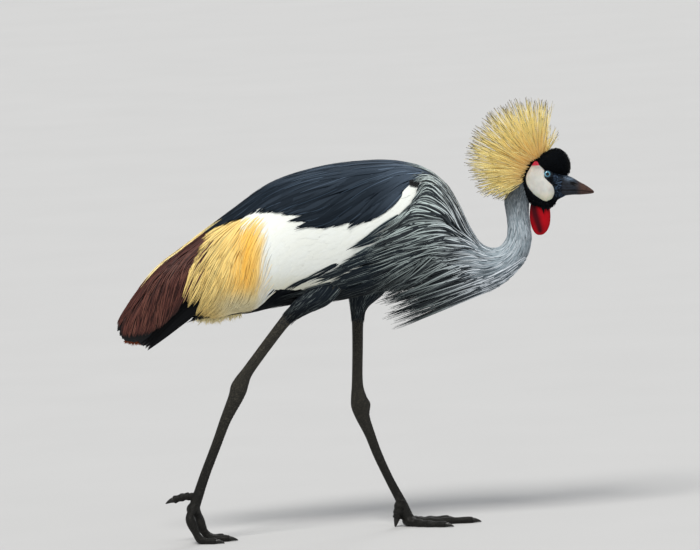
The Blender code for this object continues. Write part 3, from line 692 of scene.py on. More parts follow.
def strand(t):
    return ramp(t, [0, 0.3, 0.75, 1], [0.6, 1, 0.75, 0.08])


def between(values, place):
    """Values of each path at fractional knots, one row of places for each path."""
    low = np.minimum(place.astype(int), values.shape[1] - 2)
    share = (place - low)[..., None]
    row = np.arange(len(values))[:, None]
    return values[row, low] * (1 - share) + values[row, low + 1] * share


def cut_off(points, normals, within, short_of, slack, random):
    """Paths cut off where they last leave one outline or first enter one of others, give or take slack.

    Gives points, normals and which paths keep at least a third of their length.
    """
    count, knots = points.shape[:2]
    fine = np.linspace(0, knots - 1, 4 * knots - 3)
    dense = between(points, np.broadcast_to(fine, (count, len(fine))))
    end, fit = np.full(count, knots - 1.0), np.ones(count, bool)
    if within:
        found = inside(within, dense)
        fit = found.any(axis=1)
        end = fine[len(fine) - 1 - np.argmax(found[:, ::-1], axis=1)]
    if short_of:
        found = np.any([inside(outline, dense) for outline in short_of], axis=0)
        end = np.where(found.any(axis=1), np.minimum(end, fine[np.argmax(found, axis=1)]), end)
    span = np.linalg.norm(np.diff(points, axis=1), axis=2).mean(axis=1)
    end = np.minimum(end + random.normal(0, slack, count) / span, knots - 1.0)
    fit &= end > 0.33 * (knots - 1)
    place = np.linspace(0, 1, knots)[None] * np.maximum(end, 0.5)[:, None]
    return between(points, place), between(normals, place), fit


def gather(points, count, pull, random):
    """Locks: each path is drawn to the nearest of count chosen paths, not at its root and most at its tip."""
    guides = points[random.choice(len(points), min(count, len(points)), replace=False)]
    middle = points.shape[1] // 2
    distance = np.linalg.norm(points[:, None, middle] - guides[None, :, middle], axis=-1)
    nearest = guides[np.argmin(distance, axis=1)]
    share = pull * np.linspace(0, 1, points.shape[1]) ** 1.5
    return points + (nearest - points) * share[None, :, None]


def vanes(points, normals, half_width, rise, section, tint, root_patch, random, shaft=0.0):
    """Closed vanes: at each knot the section's points, spread across the path and raised along the normal.

    half_width and rise are roots by knots, tint is roots by knots by 3 or roots by knots by section by 3.
    shaft is the strength of the pale line along the middle, one number or one for each vane.
    """
    count, knots, corners = *points.shape[:2], len(section)
    across, up = section[:, 0], section[:, 1]
    side = unit(np.cross(unit(np.gradient(points, axis=1)), normals))
    places = (
        points[:, :, None]
        + side[:, :, None] * (half_width[..., None] * across)[..., None]
        + normals[:, :, None] * (rise[..., None] * up)[..., None]
    )
    if tint.ndim == 3:
        tint = np.repeat(tint[:, :, None], corners, axis=2)
    t = np.linspace(0, 1, knots)
    length = np.linalg.norm(np.diff(points, axis=1), axis=2).sum(axis=1)
    chance = random.uniform(0, 1, count)
    line = np.broadcast_to(np.broadcast_to(shaft, (count,))[:, None, None], (count, knots, corners))
    vane = np.stack(
        [
            np.broadcast_to(t[None, :, None] * length[:, None, None], (count, knots, corners)),
            half_width[..., None] * across,
            np.broadcast_to(chance[:, None, None], (count, knots, corners)),
        ],
        axis=-1,
    )
    patch = root_patch[:, None, None] + 0.003 * np.stack(
        np.broadcast_arrays(across[None, None] * 0.5, t[None, :, None] - 0.5), axis=-1
    )
    grid = np.arange(count * knots * corners).reshape(count, knots, corners)
    following = np.roll(grid, -1, axis=2)
    quads = np.stack([grid[:, :-1], following[:, :-1], following[:, 1:], grid[:, 1:]], axis=-1).reshape(-1, 4)
    caps = np.concatenate([grid[:, 0, ::-1], grid[:, -1]])
    return {
        "places": places.reshape(-1, 3),
        "quads": quads,
        "caps": caps,
        "tint": np.broadcast_to(tint, (count, knots, corners, 3)).reshape(-1, 3),
        "line": line.reshape(-1),
        "vane": vane.reshape(-1, 3),
        "patch": patch.reshape(-1, 2),
    }


def sheet_of(places, tint=None, vane=None, close=True):
    """A surface from a grid of points, rows by columns by 3: columns run round, ends may be capped."""
    rows, columns = places.shape[:2]
    grid = np.arange(rows * columns).reshape(rows, columns)
    following = np.roll(grid, -1, axis=1)
    quads = np.stack([grid[:-1], following[:-1], following[1:], grid[1:]], axis=-1).reshape(-1, 4)
    caps = np.stack([grid[0, ::-1], grid[-1]]) if close else np.zeros((0, columns), int)
    count = rows * columns
    tint = np.zeros(3) if tint is None else tint
    return {
        "places": places.reshape(-1, 3),
        "quads": quads,
        "caps": caps,
        "tint": np.broadcast_to(tint, places.shape).reshape(-1, 3),
        "vane": np.zeros((count, 3)) if vane is None else vane.reshape(-1, 3),
        "patch": np.zeros((count, 2)),
    }


def signed_volume(batch):
    points = batch["places"]
    total = 0.0
    for faces in (batch["quads"], batch["caps"]):
        for i in range(1, faces.shape[1] - 1):
            a, b, c = points[faces[:, 0]], points[faces[:, i]], points[faces[:, i + 1]]
            total += np.sum(a * np.cross(b, c))
    return total


def make_piece(name, batches, materials, replaced=(), coat=False):
    """One mesh object from batches of faces, turned outwards, riding on the frame's one body.

    materials is one material, or one for each batch.
    """
    places, corners, sizes, tint, vane, patch, used, line = [], [], [], [], [], [], [], []
    offset = 0
    for number, batch in enumerate(batches):
        turned = -1 if signed_volume(batch) < 0 else 1
        for faces in (batch["quads"], batch["caps"]):
            if len(faces):
                corners.append((faces[:, ::turned] + offset).reshape(-1))
                sizes.append(np.full(len(faces), faces.shape[1]))
                used.append(np.full(len(faces), number if isinstance(materials, list) else 0))
        for store, key in ((places, "places"), (tint, "tint"), (vane, "vane"), (patch, "patch")):
            store.append(batch[key])
        line.append(batch.get("line", np.zeros(len(batch["places"]))))
        offset += len(batch["places"])
    places, tint, vane, patch = (np.concatenate(x) for x in (places, tint, vane, patch))
    corners, sizes, used = (np.concatenate(x).astype(np.int32) for x in (corners, sizes, used))
    mesh = bpy.data.meshes.new(name)
    mesh.vertices.add(len(places))
    mesh.vertices.foreach_set("co", places.astype(np.float32).reshape(-1))
    mesh.loops.add(len(corners))
    mesh.loops.foreach_set("vertex_index", corners)
    mesh.polygons.add(len(sizes))
    mesh.polygons.foreach_set("loop_start", np.concatenate([[0], np.cumsum(sizes)[:-1]]).astype(np.int32))
    mesh.polygons.foreach_set("material_index", used)
    mesh.update(calc_edges=True)
    if mesh.validate():
        raise RuntimeError(f"{name} has faces that Blender had to repair")
    attribute = mesh.attributes.new("tint", "FLOAT_COLOR", "POINT")
    shades = np.column_stack([tint, np.concatenate(line)])
    attribute.data.foreach_set("color", shades.astype(np.float32).reshape(-1))
    attribute = mesh.attributes.new("vane", "FLOAT_VECTOR", "POINT")
    attribute.data.foreach_set("vector", vane.astype(np.float32).reshape(-1))
    if coat:
        layer = mesh.uv_layers.new(name="OFBake")
        layer.data.foreach_set("uv", patch[corners].astype(np.float32).reshape(-1))
    mesh.shade_smooth()
    mesh.set_sharp_from_angle(angle=SHARP)
    thing = bpy.data.objects.new(name, mesh)
    bpy.context.scene.collection.objects.link(thing)
    for material in materials if isinstance(materials, list) else [materials]:
        mesh.materials.append(material)
    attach(thing, "root")
    if replaced:
        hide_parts(*replaced)
    return thing


# Materials


def add_node(tree, kind, settings=None, **inputs):
    """A node with its settings; each input is a value, or a socket to link."""
    made = tree.nodes.new(kind)
    for key, value in (settings or {}).items():
        setattr(made, key, value)
    for key, value in inputs.items():
        socket = made.inputs[int(key[1:]) if key[1:].isdigit() else key.replace("_", " ")]
        if isinstance(value, bpy.types.NodeSocket):
            tree.links.new(value, socket)
        else:
            socket.default_value = value
    return made


def new_material(name, roughness, specular=0.5, **sockets):
    """A material with its Principled shader, whose constant values are set on the shader's own sockets."""
    material = bpy.data.materials.new(name)
    material.use_nodes = True
    tree = material.node_tree
    shader = tree.nodes["Principled BSDF"]
    shader.inputs["Roughness"].default_value = roughness
    shader.inputs["Specular IOR Level"].default_value = specular
    for key, value in sockets.items():
        shader.inputs[key.replace("_", " ")].default_value = value
    return material, tree, shader


def attribute(tree, name):
    return add_node(tree, "ShaderNodeAttribute", {"attribute_name": name})


def math_node(tree, operation, first, second=0.0):
    return add_node(tree, "ShaderNodeMath", {"operation": operation}, _0=first, _1=second).outputs[0]


def linear(tree, value, factor, offset):
    """value * factor + offset, as nodes."""
    return math_node(tree, "ADD", math_node(tree, "MULTIPLY", value, factor), offset)


def noise(tree, place, scale, detail):
    return add_node(tree, "ShaderNodeTexNoise", Vector=place, Scale=scale, Detail=detail).outputs["Fac"]


def scaled(tree, tint, light):
    return add_node(tree, "ShaderNodeVectorMath", {"operation": "SCALE"}, _0=tint, Scale=light).outputs[0]


def combined(tree, x, y, z):
    return add_node(tree, "ShaderNodeCombineXYZ", X=x, Y=y, Z=z).outputs[0]


def faded(tree, value, start, end, first, last):
    """Runs smoothly from the first level to the last while value goes from start to end."""
    return add_node(
        tree, "ShaderNodeMapRange", {"interpolation_type": "SMOOTHSTEP"},
        Value=value, From_Min=start, From_Max=end, To_Min=first, To_Max=last,
    ).outputs[0]


def vane_parts(tree):
    """The three numbers of the attribute vane."""
    return add_node(tree, "ShaderNodeSeparateXYZ", _0=attribute(tree, "vane").outputs["Vector"]).outputs


def link_shader(tree, shader, base, **bump):
    """Links the base colour to the shader and, where given, a bump."""
    tree.links.new(base, shader.inputs["Base Color"])
    if bump:
        tree.links.new(add_node(tree, "ShaderNodeBump", **bump).outputs[0], shader.inputs["Normal"])


def feather_material(
    name, roughness, barb_mm=1.6, barb_depth=0.35, streak=0.25, sheen=0.0, specular=0.25, bands=0.12
):
    """Vaned feather of keratin: the tint of its field, a shaft line, slanting barbs as bump and fine streaks.

    bands is how much the barbs, or the twists of a bristle, darken the tint between them.
    """
    material, tree, shader = new_material(name, roughness, specular, Sheen_Weight=sheen, Sheen_Roughness=0.4)
    coloured = attribute(tree, "tint")
    along, across, chance = vane_parts(tree)
    aside = math_node(tree, "ABSOLUTE", across)
    slant = math_node(tree, "SUBTRACT", along, math_node(tree, "MULTIPLY", aside, 1.4))
    # Barbs stand 0.3 to 0.6 mm apart on the bird; drawn coarser so that they show
    barbs = add_node(
        tree, "ShaderNodeTexWave", {"bands_direction": "X"}, Vector=combined(tree, slant, chance, 0.0),
        Scale=2 * math.pi / (20 * barb_mm * MM), Distortion=0.6, Detail=1.0,
    ).outputs["Fac"]
    # Streaks 0.6 mm across and 15 mm long
    spread = combined(tree, math_node(tree, "MULTIPLY", along, 0.04), across, chance)
    light = linear(tree, noise(tree, spread, 1600.0, 1.0), 2 * streak, 1 - streak)
    light = math_node(tree, "MULTIPLY", light, linear(tree, barbs, bands, 1 - bands / 2))
    # The shaft's line fades out 0.6 mm to each side of the middle
    line = math_node(
        tree, "MULTIPLY", coloured.outputs["Alpha"], faded(tree, aside, 0.0001, 0.0006, 1.0, 0.0)
    )
    base = scaled(tree, coloured.outputs["Color"], math_node(tree, "ADD", light, line))
    link_shader(tree, shader, base, Strength=barb_depth, Distance=0.0005, Height=barbs)
    return material


def skin_material(
    name, roughness, cell_mm, depth, edge_key=None, specular=0.4, mottle=(90.0, 0.5), **sockets
):
    """Skin or scale: the tint, cells of the given size as bump, with paler edges where a colour is named.

    mottle is how many patches lie in a metre and how strong they are.
    """
    material, tree, shader = new_material(name, roughness, specular, **sockets)
    coloured = attribute(tree, "tint")
    place = add_node(tree, "ShaderNodeTexCoord").outputs["Object"]
    cells = add_node(
        tree, "ShaderNodeTexVoronoi", {"feature": "DISTANCE_TO_EDGE"}, Vector=place, Scale=1 / (cell_mm * MM)
    ).outputs["Distance"]
    patches, strength = mottle
    light = linear(tree, noise(tree, place, patches, 3.0), strength, 1 - strength / 2)
    base = scaled(tree, coloured.outputs["Color"], math_node(tree, "MAXIMUM", light, 0.1))
    edge = faded(tree, cells, 0.02, 0.16, 0.0, 1.0)
    if edge_key:
        pale = math_node(tree, "MULTIPLY", math_node(tree, "SUBTRACT", 1.0, edge), 0.9)
        base = add_node(
            tree, "ShaderNodeMix", {"data_type": "RGBA"}, _0=pale, _6=base, _7=(*colour(edge_key), 1.0)
        ).outputs[2]
        # The tint's fourth number shades tint and edges alike
        base = scaled(tree, base, coloured.outputs["Alpha"])
    link_shader(tree, shader, base, Strength=depth, Distance=0.0008, Height=edge)
    return material


# Shared forms

BODY = Form.from_slices(BODY_SLICES, BODY_HALF_WIDTH, widest=0.52, window=(0.02, 0.02, 0.98, 0.55))
HEAD = Form.from_slices(HEAD_SLICES, HEAD_HALF_WIDTH, window=(0.02, 0.57, 0.98, 0.70))
CAP = Form.from_slices(CAP_SLICES, HEAD_HALF_WIDTH, window=(0.02, 0.71, 0.98, 0.80))
BILL = Form.from_slices(BILL_SLICES, HEAD_HALF_WIDTH)
WATTLE = Form.from_slices(WATTLE_SLICES, 1.0)


def leg_form(side):
    table = np.array(LEG_STATIONS[side])
    aside = SIDES[side] * np.linspace(HIP_OFFSET, FOOT_OFFSET, len(table))
    path = np.stack([table[:, 0], aside, table[:, 1]], axis=1)
    low = 0.82 if side == "right" else 0.91
    return Form.along(path, table[:, 2], table[:, 3], (0, 1, 0), window=(0.02, low, 0.98, low + 0.08))


def toe_path(side, name):
    table = np.array(TOES[side][name])
    path = np.stack([table[:, 0], SIDES[side] * (FOOT_OFFSET + table[:, 1]), table[:, 2]], axis=1)
    heading = path[-1] - path[0]
    return path, table[:, 3] * TOE_RADIUS, (-heading[1], heading[0], 0.0)


def body_tint(place):
    """The coat's colour on the skin under it, so that no other colour shows between feathers."""
    tint = np.broadcast_to(colour("slate_deep"), place.shape).copy()
    for zone, key in (
        ("mantle", "slate"), ("chestnut", "chestnut_dark"), ("white", "cream"), ("gold", "straw")
    ):
        tint[inside(ZONES[zone], place)] = colour(key)
    neck = smoothstep(0.17, 0.24, place[..., 0])[..., None]
    return tint * (1 - neck) + colour("neck_dark") * neck


# Operators


class CraneOperator(bpy.types.Operator):
    """What the crane's operators share."""

    bl_options = {"REGISTER"}

    @property
    def sizes(self):
        return bpy.context.scene.crane_sizes

    def roots(self, form, first, last, row_gap, column_gap, random):
        """Roots on a form, closer with density. A gap is one number, or the slices and gaps of a ramp."""

        def spaced(gap):
            return lambda s: (ramp(s, *gap) if isinstance(gap, tuple) else gap) / self.sizes.density

        return form.roots(first, last, spaced(row_gap), spaced(column_gap), random)


# Edge of the cubes that join legs and toes into one shell
VOXEL = 0.00148


def scutes(form, s, a, pitch, depth):
    """Overlapping plates down the front of a limb: a saw tooth along its length, faded round to the back."""
    tooth = (run_of(form.section(s[:, 0])[0]) / pitch) % 1.0
    shape = np.where(tooth < 0.8, tooth / 0.8, (1 - tooth) / 0.2)[:, None]
    return depth * (shape - 0.5) * np.clip(np.cos(a), 0, 1) ** 0.7


class CRANE_OT_skin(CraneOperator):
    """Skin of body, neck, head, legs and feet in one piece, under the coat"""

    bl_idname = "crane.skin"
    bl_label = "Skin"

    def execute(self, context):
        under = skin_material("skin under feathers", roughness=0.8, cell_mm=3.0, depth=0.2)
        scaly = skin_material(
            "scaled leg skin", roughness=0.55, cell_mm=3.4, depth=1.0, edge_key="leg_pale", specular=0.25,
            mottle=(260.0, 1.1),
        )
        levels = np.linspace(0, 1, len(BODY.rows)) * BODY.last
        body_depth, neck_depth = self.sizes.coat_depth, self.sizes.neck_coat_depth
        depth = ramp(levels, [0, 8, 11, 14, 17, 23], [0.011, body_depth, 0.009, 0.006, neck_depth, 0.003])
        body = BODY.slimmed(depth).point(*rings(np.linspace(0.6, 23.0, 150), 48))
        head = HEAD.slimmed(0.0008).point(*rings(np.linspace(0.1, 7.7, 70), 64))
        cap = CAP.slimmed(0.0025).point(*rings(np.linspace(0.1, 7.9, 50), 40))
        kinds = ("trunk", "neck", "head", "thigh", "shank", "tarsus", "foot", "toe")
        make_piece(
            "skin",
            [
                sheet_of(body, body_tint(body)), sheet_of(head, colour("face") * 0.5),
                sheet_of(cap, colour("velvet")), self.legs(),
            ],
            [under, under, under, scaly],
            [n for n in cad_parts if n.split("_")[0] in kinds],
        )
        return {"FINISHED"}

    def legs(self):
        """Legs, pads and toes as closed lofts with raised scutes, then joined into one shell by voxels."""
        batches = []
        for side, sign in SIDES.items():
            form = leg_form(side)
            s, a = rings(np.linspace(0.2, form.last, 420), 40)
            place, normal, _, _ = form.axes(s, a)
            proud = scutes(form, s, a, pitch=0.0055, depth=0.0011) * smoothstep(6.4, 8.2, s)
            batches.append(sheet_of(place + normal * proud[..., None]))
            pad_x, pad_z, radii = FOOT_PADS[side]
            polar, turn = rings(np.linspace(0.02, math.pi - 0.02, 24), 32)
            ball = np.stack(
                [np.sin(polar) * np.cos(turn), np.sin(polar) * np.sin(turn), np.cos(polar)], axis=-1
            )
            batches.append(sheet_of(np.array([pad_x, sign * FOOT_OFFSET, pad_z]) + ball * np.array(radii)))
            for name in TOES[side]:
                path, radius, across = toe_path(side, name)
                toe = Form.along(path, radius, radius, across)
                s, a = rings(np.linspace(0, toe.last, 110), 28)
                place, normal, _, _ = toe.axes(s, a)
                knuckles = 0.0007 * np.cos(s / toe.last * 2 * math.pi * 3.2)
                proud = scutes(toe, s, a, pitch=0.0042, depth=0.0009) + knuckles
                batches.append(sheet_of(place + normal * proud[..., None]))
        rough = make_piece("leg_lofts", batches, bpy.data.materials.new("lofts"))
        remesh = rough.modifiers.new("join", "REMESH")
        remesh.mode = "VOXEL"
        remesh.voxel_size = VOXEL
        smooth = rough.modifiers.new("soften", "SMOOTH")
        smooth.factor = 0.4
        smooth.iterations = 2
        bpy.context.view_layer.update()
        mesh = bpy.data.meshes.new_from_object(rough.evaluated_get(bpy.context.evaluated_depsgraph_get()))
        bpy.data.objects.remove(rough)
        places = np.empty(len(mesh.vertices) * 3, np.float32)
        mesh.vertices.foreach_get("co", places)
        places = places.reshape(-1, 3).astype(float)
        # Soles are pressed flat onto the ground
        places[:, 2] = np.maximum(places[:, 2], 0.0)
        corners = np.empty(len(mesh.loops), np.int32)
        mesh.loops.foreach_get("vertex_index", corners)
        feathered = smoothstep(0.365, 0.385, places[:, 2])[:, None]
        tint = colour("leg") * (1 - feathered) + colour("slate_deep") * feathered
        shade = 0.22 + 0.78 * smoothstep(0.06, 0.33, places[:, 2])
        return {
            "places": places, "quads": corners.reshape(-1, 4), "caps": np.zeros((0, 3), int), "tint": tint,
            "line": shade, "vane": np.zeros((len(places), 3)), "patch": np.zeros((len(places), 2)),
        }


class CRANE_OT_eyes(CraneOperator):
    """Eyeballs with pupil, iris and clear bulge, and the bare lids round them"""

    bl_idname = "crane.eyes"
    bl_label = "Eyes"

    def execute(self, context):
        material = self.iris_material()
        lid_skin = skin_material("bare eyelid", roughness=0.5, cell_mm=1.2, depth=0.5)
        eye_x, eye_z = EYE_PLACE
        for side, sign in SIDES.items():
            gaze = unit(np.array([0.12, sign, 0.02]))
            right = unit(np.cross(gaze, (0, 0, 1.0)))
            up = np.cross(right, gaze)
            centre = np.array([eye_x, sign * EYE_Y, eye_z])
            polar = np.concatenate([np.linspace(0.004, 1.1, 40), np.linspace(1.2, math.pi - 0.004, 14)])
            polar, turn = rings(polar, 48)
            radius = EYE_RADIUS * (1 + 0.035 * np.exp(-((polar / 0.55) ** 2)))
            spoke = right * np.cos(turn)[..., None] + up * np.sin(turn)[..., None]
            places = centre + radius[..., None] * (
                gaze * np.cos(polar)[..., None] + spoke * np.sin(polar)[..., None]
            )
            vane = np.stack([polar, np.cos(turn), np.sin(turn)], axis=-1)
            make_piece(
                f"eyeball_{side}", [sheet_of(places, vane=vane)], material, [f"eye_{side}"]
            )
            make_piece(f"eyelids_{side}", self.lids(centre, gaze, right, up), lid_skin)
        return {"FINISHED"}

    def lids(self, centre, gaze, right, up):
        """Two rims round the opening: a tube along an almond loop on the eyeball, and a wider fold."""
        turn, ring = rings(turns(72), 12)
        batches = []
        for reach, thick, lift, tone in ((0.0060, 0.0009, 0.0002, 0.9), (0.0080, 0.0012, -0.0012, 0.6)):
            # The almond: corners reach further out than the middle of each lid
            loop = reach + 0.0008 * np.abs(np.cos(turn)) ** 5 - 0.0003 * np.abs(np.sin(turn))
            out = right * np.cos(turn)[..., None] + up * np.sin(turn)[..., None]
            depth = np.sqrt(np.maximum(EYE_RADIUS**2 - np.minimum(loop, EYE_RADIUS * 0.95) ** 2, 1e-9)) + lift
            axis = centre + out * loop[..., None] + gaze * depth[..., None]
            tube = out * np.cos(ring)[..., None] + gaze * np.sin(ring)[..., None]
            places = axis + tube * thick
            closed = sheet_of(places, colour("face") * tone, close=False)
            rows, columns = places.shape[:2]
            grid = np.arange(rows * columns).reshape(rows, columns)
            following = np.roll(grid, -1, axis=1)
            seam = np.stack([grid[-1], following[-1], following[0], grid[0]], axis=-1)
            closed["quads"] = np.concatenate([closed["quads"], seam])
            batches.append(closed)
        return batches

    def iris_material(self):
        """Eye under a wet cornea: black pupil, pale blue iris with spokes, dark rim."""
        material, tree, shader = new_material(
            "wet eye", roughness=0.15, specular=0.4, Coat_Weight=0.25, Coat_Roughness=0.04
        )
        polar, cos, sin = vane_parts(tree)
        spokes = noise(tree, combined(tree, cos, sin, math_node(tree, "MULTIPLY", polar, 0.4)), 9.0, 3.0)
        off = math_node(tree, "MULTIPLY", math_node(tree, "SUBTRACT", spokes, 0.5), 0.05)
        wobble = math_node(tree, "ADD", polar, off)
        bands = add_node(tree, "ShaderNodeValToRGB", _0=math_node(tree, "DIVIDE", wobble, 1.2))
        iris = colour("iris")
        stops = [
            (0.0, (0.002, 0.002, 0.003)), (0.285, (0.002, 0.002, 0.003)), (0.32, tuple(iris * 0.35)),
            (0.39, tuple(iris * 0.85)), (0.52, tuple(iris)), (0.61, tuple(iris * 0.5)),
            (0.69, (0.012, 0.02, 0.03)),
        ]
        bands.color_ramp.elements[0].position, bands.color_ramp.elements[1].position = 0.0, 1.0
        bands.color_ramp.elements[1].color = (0.006, 0.008, 0.012, 1)
        bands.color_ramp.elements[0].color = (*stops[0][1], 1)
        for position, tone in stops[1:]:
            bands.color_ramp.elements.new(position).color = (*tone, 1)
        link_shader(tree, shader, scaled(tree, bands.outputs[0], linear(tree, spokes, 0.7, 0.65)))
        return material


class CRANE_OT_face(CraneOperator):
    """Bare cheeks, wattle and bill"""

    bl_idname = "crane.face"
    bl_label = "Face"

    def execute(self, context):
        self.cheeks()
        self.wattle()
        self.bill()
        return {"FINISHED"}

    def cheeks(self):
        """A cushion on the head's side: rings of the cheek's outline, shrunk to its middle and domed."""
        material = skin_material(
            "bare cheek skin", roughness=0.48, cell_mm=1.1, depth=0.12, specular=0.35,
            Subsurface_Weight=0.15, Subsurface_Scale=0.003,
        )
        loop = smooth_rows(CHEEK_OUTLINE + CHEEK_OUTLINE[:1], 6)[:-1]
        middle = np.array(CHEEK_CENTRE)
        ring = np.concatenate([np.linspace(0.02, 0.9, 26), np.linspace(0.93, 1.0, 6)])
        flat = middle + ring[:, None, None] * (loop - middle)
        x, z = flat[..., 0].reshape(-1), flat[..., 1].reshape(-1)
        # The larger of the two sides, blended so that no crease shows where they cross
        blend = 16
        head_y = (HEAD.side_y(x, z) ** blend + CAP.side_y(x, z) ** blend) ** (1 / blend)
        head_y = head_y.reshape(flat.shape[:2])
        dome = CHEEK_PROUD * (1 - ring**8)[:, None] * np.ones_like(head_y)
        spot = smoothstep(0.6262, 0.6278, flat[..., 1])
        shade = smoothstep(0.585, 0.566, flat[..., 1])
        tint = mixed("cheek", mixed("cheek", "cream", 0.8), shade)
        veins = np.clip(np.sin(flat[..., 0] * 2600 + flat[..., 1] * 1900) * np.sin(flat[..., 1] * 2900), 0, 1)
        spot = np.maximum(spot, 0.22 * veins * smoothstep(0.604, 0.618, flat[..., 1]))
        tint = tint * (1 - spot[..., None]) + colour("cheek_spot") * spot[..., None]
        for side, sign in SIDES.items():
            high = flat[..., 1] + LOWERED * head_y
            outer = np.stack([flat[..., 0], sign * (head_y + dome), high], axis=-1)
            inner = np.stack([flat[::-1, :, 0], sign * (head_y[::-1] * 0.9 - 0.002), high[::-1]], axis=-1)
            places = np.concatenate([outer, inner])
            piece = sheet_of(places, np.concatenate([tint, tint[::-1]]))
            make_piece(f"bare_cheek_{side}", [piece], material, [f"cheek_{side}"])

    def wattle(self):
        """A flat hanging pouch: the wattle's form, its sides pressed in along an upright fold."""
        material = skin_material("wrinkled wattle skin", roughness=0.6, cell_mm=1.3, depth=0.12, specular=0.1)
        s, a = rings(np.linspace(0, WATTLE.last, 90), 72)
        place, normal, _, _ = WATTLE.axes(s, a)
        # The fold starts at the rear of the top and drifts to the middle
        fold = np.exp(-(((np.cos(a) - 0.78 + 0.145 * s) / 0.52) ** 2)) * smoothstep(6.8, 4.9, s)
        place = place - normal * (0.0016 * fold)[..., None]
        # Darker in the fold: painted shade in the crease
        tint = mixed("wattle", "wattle_dark", np.clip(1.1 * fold**1.3, 0, 1))
        make_piece("hanging_wattle", [sheet_of(place, tint)], material, ["wattle"])

    def bill(self):
        """The bill's form with a groove for the gape, a slit for the nostril and a dent ahead of the face."""
        material = skin_material(
            "bill horn", roughness=0.5, cell_mm=1.4, depth=0.15, specular=0.25, mottle=(520.0, 2.4)
        )
        s, a = rings(np.linspace(0, BILL.last, 150), 96)
        place, normal, _, _ = BILL.axes(s, a)
        x, z = place[..., 0], place[..., 2]
        gape_z = ramp(x, [0.352, 0.385, 0.405, 0.430], [0.5832, 0.5812, 0.5785, 0.5745])
        flank = smoothstep(0.25, 0.6, np.abs(np.sin(a)))
        groove = 0.0011 * np.exp(-(((z - gape_z) / 0.0008) ** 2)) * flank * smoothstep(0.424, 0.418, x)
        slope = (x - 0.3880) * -0.45
        nostril = np.exp(-(((x - 0.3880) / 0.0058) ** 2) - ((z - 0.5929 - slope) / 0.0031) ** 2)
        dent = np.exp(-(((x - 0.384) / 0.010) ** 2) - ((z - 0.5935 - slope) / 0.0040) ** 2)
        # Long wrinkles 2.7 mm apart along the gape, on the rear half
        wave = np.sin((z - gape_z) * 2300 + 0.9 * np.sin(x * 330)) * smoothstep(0.400, 0.384, x) * flank
        depth = groove + 0.00024 * wave + flank * (0.0032 * nostril + 0.0008 * dent)
        place = place - normal * depth[..., None]
        tint = mixed("bill", "bill_tip", smoothstep(0.390, 0.404, x))
        # A pale patch on top of the bill's base, behind the nostril: a painted highlight
        ridge = np.exp(-(((x - 0.3785) / 0.0095) ** 2) - ((z - 0.6035 + 0.5 * (x - 0.3785)) / 0.0050) ** 2)
        tint = tint + (colour("slate_pale") - tint) * (0.80 * ridge)[..., None]
        # Paler and darker stripes in step with the wrinkles, strongest low down: painted light and shade of
        # their relief
        below = smoothstep(0.594, 0.587, z)
        tint = tint * (1 + 2.2 * wave * (0.30 + 0.70 * below))[..., None].clip(0.15, 3.2)
        # Near black in the nostril and along the gape's groove: painted shade in these hollows
        tint = tint * (1 - 0.95 * np.clip(2.2 * nostril * flank + groove / 0.0013, 0, 1))[..., None]
        make_piece("bill", [sheet_of(place, tint)], material, ["bill_upper", "bill_lower"])


class CRANE_OT_claws(CraneOperator):
    """Horn claws at the toes' tips"""

    bl_idname = "crane.claws"
    bl_label = "Claws"

    LENGTH = 0.0145

    def execute(self, context):
        material = skin_material("claw horn", roughness=0.35, cell_mm=2.0, depth=0.1)
        batches = []
        for side in SIDES:
            for name in TOES[side]:
                path, radius, across = toe_path(side, name)
                forward = unit(path[-1] - path[-2])
                run = np.array([-0.15, 0.1, 0.35, 0.6, 0.85, 1.0]) * self.LENGTH
                drop = np.array([0, 0, 0.02, 0.07, 0.14, 0.19]) * self.LENGTH
                line = path[-1] + forward * run[:, None] - np.array([0, 0, 1.0]) * drop[:, None]
                thick = np.array([0.80, 0.76, 0.62, 0.45, 0.26, 0.10]) * radius[-1]
                line[:, 2] = np.maximum(line[:, 2], thick)
                claw = Form.along(line, thick, thick * 0.8, across)
                place = claw.point(*rings(np.linspace(0, claw.last, 24), 16))
                batches.append(sheet_of(place, colour("leg") * 0.6))
        nodes = [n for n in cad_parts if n.startswith("claw")]
        make_piece("claws", batches, material, nodes)
        return {"FINISHED"}


